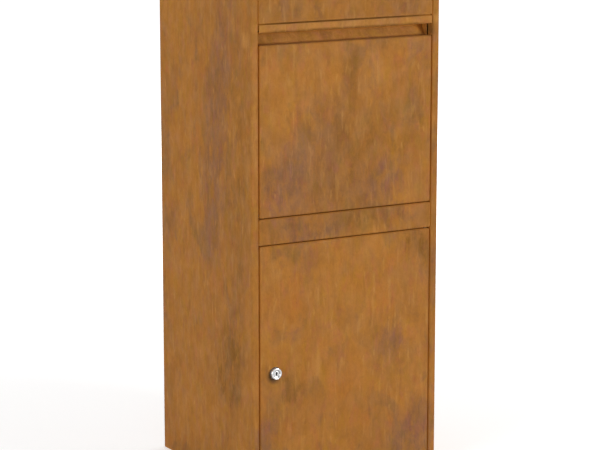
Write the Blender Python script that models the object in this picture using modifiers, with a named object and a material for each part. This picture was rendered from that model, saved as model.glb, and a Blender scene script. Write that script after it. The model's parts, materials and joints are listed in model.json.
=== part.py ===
"""Free-standing parcel mailbox in weathering steel.

A folded-sheet casing stands on its base. A parcel flap takes the upper half of the front: it tilts out on two pins
near its lower edge and carries a hopper, two cheek plates and a tray, which drops the parcel when the flap closes.
A slanted baffle behind the hopper keeps hands out. Below, a door on two vertical pins opens the parcel compartment,
and a cam lock holds it behind the left stile.

Metres, +Z up. The origin is the middle of the footprint on the ground, and the front faces -Y. The model shows the
flap and the door closed and the lock turned to open.
"""

import math

import bmesh
import bpy
from mathutils import Vector

# Overall size
WIDTH = 0.400
DEPTH = 0.360
HEIGHT = 1.000

# Sheet metal
SHEET = 0.002  # casing, flap and door
THIN_SHEET = 0.0015  # tray, baffle and brackets
BEND = 0.003  # outer radius of a fold
FIT = 0.0003  # gap between pieces that lie on each other
REVEAL = 0.002  # shadow gap round the flap and the door

# Casing
STILE = 0.0145  # face of the folded front edge of a side panel
STILE_LIP = 0.016  # depth of the lip that closes the stile
BACK_FLANGE = 0.018
SILL_HEIGHT = 0.015
RAIL_HEIGHT = 0.048
RAIL_DEPTH = 0.014
FASCIA_HEIGHT = 0.134
FASCIA_DEPTH = 0.016
BASE_RIM = 0.014
ANCHOR_HOLE = 0.0055  # radius
ANCHOR_INSET = 0.050
WALL_HOLE = 0.0045  # radius
WALL_HOLE_INSET = 0.070

# Parcel flap
FLAP_PANEL_HEIGHT = 0.313
FLAP_FLANGE = 0.016
GRIP_HEIGHT = 0.0215
GRIP_DEPTH = 0.036  # at its top, where its sloped back wall ends
GRIP_LEDGE = 0.020  # depth at its bottom
GRIP_STRIP = 0.0145
FLAP_PIVOT_BACK = 0.0062  # behind the front face
FLAP_PIVOT_UP = 0.0056  # above the flap's lower edge
FLAP_OPEN = math.radians(45.0)
TRAY_SLOPE = math.radians(45.0)
TRAY_LENGTH = 0.190
TRAY_HEM = 0.012
CHEEK_REACH = math.radians(41.7)  # direction of the cheek's rear corner, above the horizontal
CHEEK_CORNER = 0.006  # how far the cheek goes past the tray's end
HORN = 0.008  # how far the stop horn stands above the cheek's arc
STOP_DROP = 0.011  # how far the stop angle hangs under the fascia
STOP_BACK = 0.0055  # its front face, behind the front

# Baffle
BAFFLE_GAP = 0.009  # running gap to the tray's hem
BAFFLE_SLOPE = math.radians(66.5)
BAFFLE_HEM = 0.012
BAFFLE_FLANGE = 0.020
BAFFLE_SIDE_GAP = 0.003  # to the cheek plates
BRACKET_LEG = 0.026  # under the baffle
BRACKET_WALL_LEG = 0.016  # on the side panel
BRACKET_LENGTH = 0.120
BRACKET_DOWN = 0.048  # from the baffle's upper fold to the bracket's upper end

# Door
DOOR_FLANGE = 0.016
DOOR_PIN_IN = 0.008  # axis, from the door's right edge
DOOR_PIN_BACK = 0.0064  # axis, behind the front face
STOP_LEG = 0.019
STOP_HEIGHT = 0.030
STOP_BUFFER = 0.0035  # from the door's flange to the angle's face
STOP_MARGIN = 0.045  # door stops, from the door's top and bottom edges

# Pins and buffers
PIN = 0.0025  # radius
PIN_HEAD = 0.0032  # radius
PIN_HEAD_HEIGHT = 0.0025
BUFFER_HEAD = 0.0040  # radius
BUFFER_STEM = 0.0018  # radius
BUFFER_BULB = 0.0030  # radius
BUFFER_BULB_LENGTH = 0.003
FLAP_BUFFER_INSET = 0.034

# Cam lock
LOCK_IN = 0.0310  # axis, from the door's left edge
LOCK_DROP = 0.0160  # axis, below the middle of the door's height
LOCK_BARREL = 0.009  # radius
LOCK_HEAD = 0.011  # radius
LOCK_HEAD_HEIGHT = 0.007
LOCK_HEAD_CHAMFER = 0.0016
LOCK_FACE_RECESS = 0.0008
LOCK_PLUG = 0.0062  # radius
LOCK_NUT_HEIGHT = 0.004
LOCK_NUT_FLATS = 0.024
CAM_THICKNESS = 0.0025
CAM_REACH = 0.044
CAM_WIDTH = 0.016
KEYWAY_WIDTH = 0.0016
KEYWAY_HEIGHT = 0.0076
KEYWAY_DEPTH = 0.010
CAM_SCREW_HEAD = 0.0048  # radius
CAM_SCREW_HEAD_HEIGHT = 0.003
CAM_SCREW = 0.002  # radius

# Roundness
SMALL_SIDES = 32
HOLE_SIDES = 28
FOLD_SEGMENTS = 3

# Levels and planes worked out from the sizes above
FRONT = -DEPTH / 2
SIDE_INNER = WIDTH / 2 - SHEET
OPENING_HALF = WIDTH / 2 - STILE
LEAF_HALF = OPENING_HALF - REVEAL  # half the width of the flap and of the door
CASING_TOP = HEIGHT - SHEET - FIT
FASCIA_BOTTOM = HEIGHT - SHEET - FASCIA_HEIGHT
STRIP_TOP = FASCIA_BOTTOM - REVEAL
STRIP_BOTTOM = STRIP_TOP - GRIP_STRIP
LEDGE = STRIP_BOTTOM - GRIP_HEIGHT
FLAP_BOTTOM = LEDGE - FLAP_PANEL_HEIGHT
RAIL_TOP = FLAP_BOTTOM - REVEAL
RAIL_BOTTOM = RAIL_TOP - RAIL_HEIGHT
DOOR_TOP = RAIL_BOTTOM - REVEAL
DOOR_BOTTOM = SILL_HEIGHT + REVEAL
DOOR_HEIGHT = DOOR_TOP - DOOR_BOTTOM
BACK_PANEL_Y = DEPTH / 2 - SHEET - FIT  # rear face of the back panel
BACK_INNER_Y = BACK_PANEL_Y - SHEET

FLAP_AXIS = Vector((0.0, FRONT + FLAP_PIVOT_BACK, FLAP_BOTTOM + FLAP_PIVOT_UP))
DOOR_AXIS = Vector((LEAF_HALF - DOOR_PIN_IN, FRONT + DOOR_PIN_BACK, DOOR_BOTTOM))
LOCK_AXIS = Vector((-LEAF_HALF + LOCK_IN, FRONT, (DOOR_BOTTOM + DOOR_TOP) / 2 - LOCK_DROP))

# Weathered finishes: colour, roughness and metallic value
RUST = ("weathering_steel", (0.300, 0.125, 0.045, 1.0), 0.85, 0.0)
INNER_RUST = ("inner_weathering_steel", (0.220, 0.090, 0.038, 1.0), 0.85, 0.0)
CHROME = ("chromed_zinc", (0.80, 0.80, 0.80, 1.0), 0.12, 1.0)
ZINC = ("zinc_plated_steel", (0.55, 0.56, 0.57, 1.0), 0.35, 1.0)
RUBBER = ("black_rubber", (0.030, 0.030, 0.030, 1.0), 0.75, 0.0)


def start_collections():
    """Empties the file and returns the collections for the parts and for the cutters."""
    for old in list(bpy.data.objects):
        bpy.data.objects.remove(old)
    parts = bpy.data.collections.new("parcel_mailbox")
    cutters = bpy.data.collections.new("cutters")
    for collection in (parts, cutters):
        bpy.context.scene.collection.children.link(collection)
    return parts, cutters


PARTS, CUTTERS = start_collections()


def material(finish):
    """One Principled BSDF for each finish, shared by its parts."""
    name, colour, roughness, metallic = finish
    made = bpy.data.materials.get(name)
    if made is None:
        made = bpy.data.materials.new(name)
        made.use_nodes = True
        shader = made.node_tree.nodes["Principled BSDF"]
        shader.inputs["Base Color"].default_value = colour
        shader.inputs["Roughness"].default_value = roughness
        shader.inputs["Metallic"].default_value = metallic
        made.diffuse_color = colour
    return made


def axis_empty(name, place, parent=None):
    """An empty on a joint's axis, which carries the pieces that move about it."""
    empty = bpy.data.objects.new(name, None)
    PARTS.objects.link(empty)
    empty.empty_display_size = 0.03
    settle(empty, place, parent)
    return empty


def settle(obj, place, parent=None, turn=(0.0, 0.0, 0.0)):
    """Puts an object at a place in the world, under a parent that is never turned."""
    origin = Vector((0.0, 0.0, 0.0))
    above = parent
    while above is not None:
        origin += above.location
        above = above.parent
    obj.parent = parent
    obj.location = Vector(place) - origin
    obj.rotation_euler = turn


def add_part(name, data, finish, place, parent=None, turn=(0.0, 0.0, 0.0)):
    """Links a mesh or curve as a part with its finish."""
    data.materials.append(material(finish))
    part = bpy.data.objects.new(name, data)
    PARTS.objects.link(part)
    settle(part, place, parent, turn)
    return part


def mesh_of(name, build):
    """A mesh made by a function that fills a bmesh."""
    work = bmesh.new()
    build(work)
    made = bpy.data.meshes.new(name)
    work.to_mesh(made)
    work.free()
    return made


def fold_and_thicken(part, thickness, towards, bend=BEND):
    """Rounds the folds of an open surface and gives it its wall, on the given side of its faces."""
    rounded = part.modifiers.new("folds", "BEVEL")
    rounded.width = bend
    rounded.segments = FOLD_SEGMENTS
    rounded.limit_method = "ANGLE"
    rounded.angle_limit = math.radians(20.0)
    wall = part.modifiers.new("wall", "SOLIDIFY")
    wall.thickness = thickness
    wall.offset = towards
    wall.use_even_offset = True
    wall.use_quality_normals = True
    return part


def open_box(work, half_width, height, depth, open_side=(0.0, 1.0, 0.0)):
    """Fills a bmesh with a box that lacks one side. Its origin is the middle of its front's lower edge."""
    bmesh.ops.create_cube(work, size=1.0)
    for vert in work.verts:
        vert.co.x *= 2 * half_width
        vert.co.y = (vert.co.y + 0.5) * depth
        vert.co.z = (vert.co.z + 0.5) * height
    work.normal_update()
    removed = [face for face in work.faces if face.normal.dot(Vector(open_side)) > 0.5]
    bmesh.ops.delete(work, geom=removed, context="FACES_ONLY")


def pan(name, half_width, height, depth, finish, place, parent=None, thickness=SHEET):
    """A sheet folded back on its four sides, open at the back. Its place is the middle of its front's lower edge."""
    made = mesh_of(name, lambda work: open_box(work, half_width, height, depth))
    part = add_part(name, made, finish, place, parent)
    return fold_and_thicken(part, thickness, -1.0)


def strip(name, outline, along, finish, place, parent=None, thickness=SHEET, towards=1.0):
    """A sheet folded to an open outline and straight along one direction.

    Seen with the sheet's run pointing at the viewer, a wall towards 1 lies on the right of the outline.
    """

    def build(work):
        verts = [work.verts.new(point) for point in outline]
        edges = [work.edges.new(pair) for pair in zip(verts, verts[1:])]
        swept = bmesh.ops.extrude_edge_only(work, edges=edges)["geom"]
        moved = [item for item in swept if isinstance(item, bmesh.types.BMVert)]
        bmesh.ops.translate(work, verts=moved, vec=along)

    part = add_part(name, mesh_of(name, build), finish, place, parent)
    return fold_and_thicken(part, thickness, -towards)


def plate(name, outlines, thickness, finish, place, parent=None, turn=(0.0, 0.0, 0.0)):
    """A flat plate from closed outlines, the first its edge and the others its holes, centred on its plane."""
    curve = bpy.data.curves.new(name, "CURVE")
    curve.dimensions = "2D"
    curve.fill_mode = "BOTH"
    curve.extrude = thickness / 2
    for outline in outlines:
        spline = curve.splines.new("POLY")
        spline.points.add(len(outline) - 1)
        for point, (x, y) in zip(spline.points, outline):
            point.co = (x, y, 0.0, 1.0)
        spline.use_cyclic_u = True
    return add_part(name, curve, finish, place, parent, turn)


def circle(x, y, radius, sides=HOLE_SIDES):
    """A round outline."""
    turns = [2 * math.pi * step / sides for step in range(sides)]
    return [(x + radius * math.cos(turn), y + radius * math.sin(turn)) for turn in turns]


def arc(x, y, radius, start, end, steps):
    """Points along an arc, both ends included."""
    turns = [start + (end - start) * step / steps for step in range(steps + 1)]
    return [(x + radius * math.cos(turn), y + radius * math.sin(turn)) for turn in turns]


def turned(name, profile, finish, place, parent=None, turn=(0.0, 0.0, 0.0), sides=SMALL_SIDES):
    """A solid of revolution about its own Z. The profile runs from the top to the bottom, outer side."""

    def build(work):
        verts = [work.verts.new((radius, 0.0, height)) for radius, height in profile]
        for pair in zip(verts, verts[1:]):
            work.edges.new(pair)

    part = add_part(name, mesh_of(name, build), finish, place, parent, turn)
    lathe = part.modifiers.new("lathe", "SCREW")
    lathe.axis = "Z"
    lathe.steps = sides
    lathe.render_steps = sides
    lathe.use_merge_vertices = True
    lathe.merge_threshold = 0.00001
    lathe.use_smooth_shade = False
    return part


def cut(part, cutter):
    """Takes a cutter's shape out of a part."""
    cutter.hide_render = True
    cutter.display_type = "WIRE"
    removed = part.modifiers.new("cut_" + cutter.name, "BOOLEAN")
    removed.operation = "DIFFERENCE"
    removed.object = cutter
    removed.solver = "EXACT"


def rod_cutter(name, centre, radius, length, direction, sides=HOLE_SIDES):
    """A round cutter along X, Y or Z, centred on a place in the world."""
    made = mesh_of(
        name,
        lambda work: bmesh.ops.create_cone(
            work, cap_ends=True, segments=sides, radius1=radius, radius2=radius, depth=length
        ),
    )
    cutter = bpy.data.objects.new(name, made)
    CUTTERS.objects.link(cutter)
    cutter.location = centre
    cutter.rotation_euler = Vector(direction).to_track_quat("Z", "Y").to_euler()
    return cutter


def box_cutter(name, centre, size):
    """A box cutter centred on a place in the world."""

    def build(work):
        bmesh.ops.create_cube(work, size=1.0)
        bmesh.ops.scale(work, vec=size, verts=work.verts)

    cutter = bpy.data.objects.new(name, mesh_of(name, build))
    CUTTERS.objects.link(cutter)
    cutter.location = centre
    return cutter


# Casing


def side_panel(name, side):
    """One side with its stile and lip at the front and its flange at the back. Side is -1 for left, 1 for right."""
    outer = side * WIDTH / 2
    outline = [
        (side * (WIDTH / 2 - BACK_FLANGE), DEPTH / 2, 0.0),
        (outer, DEPTH / 2, 0.0),
        (outer, FRONT, 0.0),
        (side * OPENING_HALF, FRONT, 0.0),
        (side * OPENING_HALF, FRONT + STILE_LIP, 0.0),
    ]
    part = strip(name, outline, (0.0, 0.0, CASING_TOP), RUST, (0.0, 0.0, 0.0), towards=side)
    hole_centre = (side * (OPENING_HALF + SHEET / 2), FLAP_AXIS.y, FLAP_AXIS.z)
    cut(part, rod_cutter(name + "_pivot_hole", hole_centre, PIN + FIT, 3 * SHEET, (1.0, 0.0, 0.0)))
    return part


def back_panel():
    """The flat sheet behind the side panels' rear flanges, with four holes for fixing it to a wall."""
    half = SIDE_INNER - (BEND - SHEET) - FIT
    bottom = SHEET + FIT
    hole_x = half - WALL_HOLE_INSET
    outline = [(-half, bottom), (half, bottom), (half, CASING_TOP), (-half, CASING_TOP)]
    holes = [
        circle(x, z, WALL_HOLE)
        for x in (-hole_x, hole_x)
        for z in (bottom + WALL_HOLE_INSET, CASING_TOP - WALL_HOLE_INSET)
    ]
    middle = (0.0, BACK_PANEL_Y - SHEET / 2, 0.0)
    return plate("back_panel", [outline, *holes], SHEET, RUST, middle, turn=(math.pi / 2, 0.0, 0.0))


def top_panel():
    """The flat roof sheet, flush with the casing on all sides."""
    outline = [(-WIDTH / 2, FRONT), (WIDTH / 2, FRONT), (WIDTH / 2, DEPTH / 2), (-WIDTH / 2, DEPTH / 2)]
    return plate("top_panel", [outline], SHEET, RUST, (0.0, 0.0, HEIGHT - SHEET / 2))


def base_panel():
    """The floor tray with its rim turned up and four anchor holes."""
    front = FRONT + STILE_LIP + 2 * FIT
    rear = BACK_INNER_Y - FIT
    half = SIDE_INNER - FIT

    made = mesh_of("base_panel", lambda work: open_box(work, half, BASE_RIM, rear - front, (0.0, 0.0, 1.0)))
    part = add_part("base_panel", made, RUST, (0.0, front, 0.0))
    fold_and_thicken(part, SHEET, -1.0)
    for column, x in enumerate((-half + ANCHOR_INSET, half - ANCHOR_INSET)):
        for row, y in enumerate((front + ANCHOR_INSET, rear - ANCHOR_INSET)):
            name = f"anchor_hole_{column}{row}"
            cut(part, rod_cutter(name, (x, y, SHEET / 2), ANCHOR_HOLE, 3 * SHEET, (0.0, 0.0, 1.0)))
    return part


def cross_members():
    """The three fixed pans between the stiles: the sill, the rail under the flap and the fascia over it."""
    half = OPENING_HALF - FIT
    sill = pan("front_sill", half, SILL_HEIGHT, RAIL_DEPTH, RUST, (0.0, FRONT, 0.0))
    rail = pan("cross_rail", half, RAIL_HEIGHT, RAIL_DEPTH, RUST, (0.0, FRONT, RAIL_BOTTOM))
    fascia_height = CASING_TOP - FASCIA_BOTTOM
    pan("front_fascia", half, fascia_height, FASCIA_DEPTH, RUST, (0.0, FRONT, FASCIA_BOTTOM))
    for part, z in ((sill, SILL_HEIGHT - SHEET / 2), (rail, RAIL_BOTTOM + SHEET / 2)):
        centre = (DOOR_AXIS.x, DOOR_AXIS.y, z)
        cut(part, rod_cutter(part.name + "_pin_hole", centre, PIN + FIT, 2 * SHEET, (0.0, 0.0, 1.0)))


def buffer(name, place, head_height, wall, turn, parent=None):
    """A push-in rubber buffer. Its place is the face of the wall that its head lies on, and its head points at +Z."""
    profile = [
        (0.0, head_height),
        (BUFFER_HEAD * 0.7, head_height),
        (BUFFER_HEAD, head_height * 0.6),
        (BUFFER_HEAD, FIT),
        (BUFFER_STEM, FIT),
        (BUFFER_STEM, -wall - FIT),
        (BUFFER_BULB, -wall - FIT),
        (BUFFER_STEM * 0.8, -wall - FIT - BUFFER_BULB_LENGTH),
        (0.0, -wall - FIT - BUFFER_BULB_LENGTH),
    ]
    return turned(name, profile, RUBBER, place, parent, turn)


def flap_stop():
    """The angle under the fascia that the closed flap's strip rests on through two buffers.

    It also catches the cheeks' horns when the flap is open.
    """
    top = FASCIA_BOTTOM - FIT
    outline = [
        (-OPENING_HALF + FIT, FASCIA_DEPTH, top),
        (-OPENING_HALF + FIT, STOP_BACK, top),
        (-OPENING_HALF + FIT, STOP_BACK, top - STOP_DROP),
    ]
    length = (2 * (OPENING_HALF - FIT), 0.0, 0.0)
    angle = strip(
        "flap_stop_angle", outline, length, RUST, (0.0, FRONT, 0.0), thickness=THIN_SHEET, towards=-1.0
    )
    head = STOP_BACK - SHEET - FIT
    middle = (top - STOP_DROP + STRIP_TOP) / 2
    for word, x in (("left", -LEAF_HALF + FLAP_BUFFER_INSET), ("right", LEAF_HALF - FLAP_BUFFER_INSET)):
        face = (x, FRONT + STOP_BACK, middle)
        buffer(f"flap_buffer_{word}", face, head, THIN_SHEET, (math.pi / 2, 0.0, 0.0))
        cut(angle, rod_cutter(f"flap_buffer_hole_{word}", face, BUFFER_STEM + FIT, 4 * SHEET, (0.0, 1.0, 0.0)))


def baffle():
    """The slanted plate behind the hopper, from the back panel down to just outside the tray's sweep."""
    reach = tray_sweep() + BAFFLE_GAP
    low_y = FLAP_AXIS.y + reach
    low_z = FLAP_AXIS.z + BAFFLE_HEM
    high_y = BACK_INNER_Y - FIT
    high_z = low_z + (high_y - low_y) * math.tan(BAFFLE_SLOPE)
    half = LEAF_HALF - SHEET - BAFFLE_SIDE_GAP
    outline = [
        (-half, high_y, high_z + BAFFLE_FLANGE),
        (-half, high_y, high_z),
        (-half, low_y, low_z),
        (-half, low_y, low_z - BAFFLE_HEM),
    ]
    strip("baffle", outline, (2 * half, 0.0, 0.0), INNER_RUST, (0.0, 0.0, 0.0), thickness=THIN_SHEET, towards=1.0)
    slant = Vector((0.0, high_y - low_y, high_z - low_z)).normalized()
    under = Vector((0.0, slant.z, -slant.y))  # from the plate to its rear side
    top_end = Vector((0.0, high_y, high_z)) - slant * BRACKET_DOWN
    low_end = top_end - slant * BRACKET_LENGTH
    for word, side in (("left", -1.0), ("right", 1.0)):
        wall = side * (SIDE_INNER - FIT)
        corner = low_end + under * FIT
        outline = [
            (wall, *(corner + under * BRACKET_WALL_LEG).yz),
            (wall, *corner.yz),
            (wall - side * BRACKET_LEG, *corner.yz),
        ]
        strip(
            f"baffle_bracket_{word}",
            outline,
            slant * BRACKET_LENGTH,
            INNER_RUST,
            (0.0, 0.0, 0.0),
            thickness=THIN_SHEET,
            towards=side,
        )


def tray_bend():
    """Where the tray's floor leaves the flap's lower flange, behind and above the flap's axis."""
    return (
        FLAP_FLANGE + BEND - FLAP_PIVOT_BACK,
        SHEET + FIT + THIN_SHEET - FLAP_PIVOT_UP,
    )


def tray_tail():
    """The far end of the tray's floor, behind and above the flap's axis."""
    start = tray_bend()
    return (
        start[0] + TRAY_LENGTH * math.cos(TRAY_SLOPE),
        start[1] - TRAY_LENGTH * math.sin(TRAY_SLOPE),
    )


def tray_sweep():
    """The radius that the lower edge of the tray's hem sweeps."""
    back, up = tray_tail()
    return math.hypot(back, up - TRAY_HEM)


# Parcel flap


def flap_panel(axis):
    """The flap's sheet: a pan that goes on at its top into the grip recess and the strip above it."""
    narrow = LEAF_HALF - BEND - FIT  # behind the flanges the grip lies between the cheek plates
    height = LEDGE - FLAP_BOTTOM

    def extend(work, edge, step):
        swept = bmesh.ops.extrude_edge_only(work, edges=[edge])["geom"]
        moved = [item for item in swept if isinstance(item, bmesh.types.BMVert)]
        bmesh.ops.translate(work, verts=moved, vec=step)
        return next(item for item in swept if isinstance(item, bmesh.types.BMEdge) and item.is_boundary
                    and all(vert in moved for vert in item.verts))

    def build(work):
        open_box(work, LEAF_HALF, height, FLAP_FLANGE)
        rear = next(
            edge for edge in work.edges if all(vert.co.y > 0.0 and vert.co.z > height / 2 for vert in edge.verts)
        )
        first, last = sorted(rear.verts, key=lambda vert: vert.co.x)
        for near, x in ((first, -narrow), (last, narrow)):
            span = next(edge for edge in near.link_edges if edge == rear or edge.other_vert(near).co.x * x < 0.0)
            _, added = bmesh.utils.edge_split(span, near, 0.5)
            added.co.x = x
        edge = next(
            edge for edge in work.edges if edge.is_boundary and {round(v.co.x, 6) for v in edge.verts}
            == {round(-narrow, 6), round(narrow, 6)}
        )
        edge = extend(work, edge, (0.0, GRIP_LEDGE - FLAP_FLANGE, 0.0))
        edge = extend(work, edge, (0.0, GRIP_DEPTH - GRIP_LEDGE, GRIP_HEIGHT))
        edge = extend(work, edge, (0.0, FLAP_FLANGE - GRIP_DEPTH, 0.0))
        left, right = sorted(edge.verts, key=lambda vert: vert.co.x)
        ceiling = height + GRIP_HEIGHT
        wide = [
            work.verts.new((side * LEAF_HALF, y, ceiling))
            for side, y in ((1.0, FLAP_FLANGE), (1.0, 0.0), (-1.0, 0.0), (-1.0, FLAP_FLANGE))
        ]
        work.faces.new([left, right, *wide])
        lip = work.edges.get((wide[1], wide[2]))
        extend(work, lip, (0.0, 0.0, GRIP_STRIP))
        bmesh.ops.recalc_face_normals(work, faces=work.faces)

    part = add_part("flap_panel", mesh_of("flap_panel", build), RUST, (0.0, FRONT, FLAP_BOTTOM), axis)
    fold_and_thicken(part, SHEET, -1.0)
    for word, side in (("left", -1.0), ("right", 1.0)):
        centre = (side * (LEAF_HALF - SHEET / 2), FLAP_AXIS.y, FLAP_AXIS.z)
        cut(part, rod_cutter(f"flap_hole_{word}", centre, PIN + FIT, 1.6 * SHEET, (1.0, 0.0, 0.0)))
    return part


def cheek_outline():
    """One cheek plate seen from the left, in distances behind and above the flap's axis."""
    front = FLAP_FLANGE + FIT - FLAP_PIVOT_BACK
    low = -FLAP_PIVOT_UP
    top = STRIP_BOTTOM + SHEET - FLAP_AXIS.z
    shoulder = GRIP_DEPTH + 2 * SHEET - FLAP_PIVOT_BACK
    arc_radius = math.hypot(shoulder, top)
    stop_face = STOP_BACK + THIN_SHEET + FIT - FLAP_PIVOT_BACK
    horn_radius = arc_radius + HORN
    horn_start = math.acos(stop_face / horn_radius) - FLAP_OPEN
    tail_back, tail_up = tray_tail()
    slope = Vector((math.cos(TRAY_SLOPE), -math.sin(TRAY_SLOPE)))
    lift = Vector((math.sin(TRAY_SLOPE), math.cos(TRAY_SLOPE)))
    tail_low = Vector((front, low)) + slope * (Vector((tail_back - front, tail_up - low)).dot(slope) + CHEEK_CORNER)
    tail_high = tail_low + lift * 4 * CHEEK_CORNER
    return [
        (front, low),
        tuple(tail_low),
        tuple(tail_high),
        *arc(0.0, 0.0, horn_radius, CHEEK_REACH, horn_start, 4),
        *arc(0.0, 0.0, arc_radius, horn_start, math.acos(shoulder / arc_radius), 14),
        (front, top),
    ]


def hopper(axis):
    """The two cheek plates and the tray between them."""
    outline = cheek_outline()
    for word, side in (("left", -1.0), ("right", 1.0)):
        place = (side * (LEAF_HALF - SHEET / 2), FLAP_AXIS.y, FLAP_AXIS.z)
        plate(f"{word}_cheek", [outline], SHEET, RUST, place, axis, (math.pi / 2, 0.0, math.pi / 2))
    half = LEAF_HALF - BEND - FIT
    bend_back, bend_up = tray_bend()
    tail_back, tail_up = tray_tail()
    tab_start = SHEET + BEND - FLAP_PIVOT_BACK
    outline = [
        (-half, tab_start, bend_up),
        (-half, bend_back, bend_up),
        (-half, tail_back, tail_up),
        (-half, tail_back, tail_up - TRAY_HEM),
    ]
    strip(
        "hopper_tray", outline, (2 * half, 0.0, 0.0), INNER_RUST, FLAP_AXIS, axis, thickness=THIN_SHEET, towards=1.0
    )


# Door


def door_panel(axis):
    """The door's pan with its lock hole and the holes for its two pins."""
    part = pan("door_panel", LEAF_HALF, DOOR_HEIGHT, DOOR_FLANGE, RUST, (0.0, FRONT, DOOR_BOTTOM), axis)
    cut(part, rod_cutter("lock_hole", LOCK_AXIS, LOCK_BARREL + FIT, 4 * SHEET, (0.0, 1.0, 0.0), SMALL_SIDES))
    for word, z in (("top", DOOR_TOP - SHEET / 2), ("bottom", DOOR_BOTTOM + SHEET / 2)):
        centre = (DOOR_AXIS.x, DOOR_AXIS.y, z)
        cut(part, rod_cutter(f"door_hole_{word}", centre, PIN + FIT, 2 * SHEET, (0.0, 0.0, 1.0)))
    return part


def headed_pin(name, seat, length, turn):
    """A pin whose head lies on the wall at its seat and whose shank goes through it, down its own Z."""
    profile = [
        (0.0, FIT + PIN_HEAD_HEIGHT),
        (PIN_HEAD * 0.75, FIT + PIN_HEAD_HEIGHT),
        (PIN_HEAD, FIT + PIN_HEAD_HEIGHT * 0.6),
        (PIN_HEAD, FIT),
        (PIN, FIT),
        (PIN, -length + FIT),
        (PIN - 2 * FIT, -length),
        (0.0, -length),
    ]
    return turned(name, profile, ZINC, seat, None, turn)


def pins():
    """The flap's two pins in the stiles' lips and the door's two pins in the rail and the sill."""
    across = 2 * SHEET + REVEAL - FIT
    for word, side in (("left", -1.0), ("right", 1.0)):
        seat = (side * (OPENING_HALF + SHEET), FLAP_AXIS.y, FLAP_AXIS.z)
        headed_pin(f"flap_pin_{word}", seat, across, (0.0, side * math.pi / 2, 0.0))
    through = 3 * SHEET + REVEAL
    top_seat = (DOOR_AXIS.x, DOOR_AXIS.y, RAIL_BOTTOM + SHEET)
    headed_pin("door_pin_top", top_seat, through, (0.0, 0.0, 0.0))
    bottom_seat = (DOOR_AXIS.x, DOOR_AXIS.y, SILL_HEIGHT - SHEET)
    headed_pin("door_pin_bottom", bottom_seat, through, (math.pi, 0.0, 0.0))


def door_stops():
    """Two small angles on the left stile's lip, each with a rubber buffer for the door's edge."""
    lip_outer = -OPENING_HALF - SHEET - FIT
    face_y = FRONT + DOOR_FLANGE + STOP_BUFFER
    outline = [
        (lip_outer, FRONT + SHEET + BEND, 0.0),
        (lip_outer, face_y, 0.0),
        (lip_outer + STOP_LEG, face_y, 0.0),
    ]
    buffer_x = -LEAF_HALF + SHEET
    levels = (("upper", DOOR_TOP - STOP_MARGIN - STOP_HEIGHT), ("lower", DOOR_BOTTOM + STOP_MARGIN))
    for word, low in levels:
        angle = strip(
            f"door_stop_{word}",
            outline,
            (0.0, 0.0, STOP_HEIGHT),
            ZINC,
            (0.0, 0.0, low),
            thickness=THIN_SHEET,
            towards=-1.0,
        )
        face = (buffer_x, face_y, low + STOP_HEIGHT / 2)
        buffer(f"door_buffer_{word}", face, STOP_BUFFER - FIT, THIN_SHEET, (math.pi / 2, 0.0, 0.0))
        cut(angle, rod_cutter(f"stop_hole_{word}", face, BUFFER_STEM + FIT, 4 * SHEET, (0.0, 1.0, 0.0)))


# Cam lock


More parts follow.
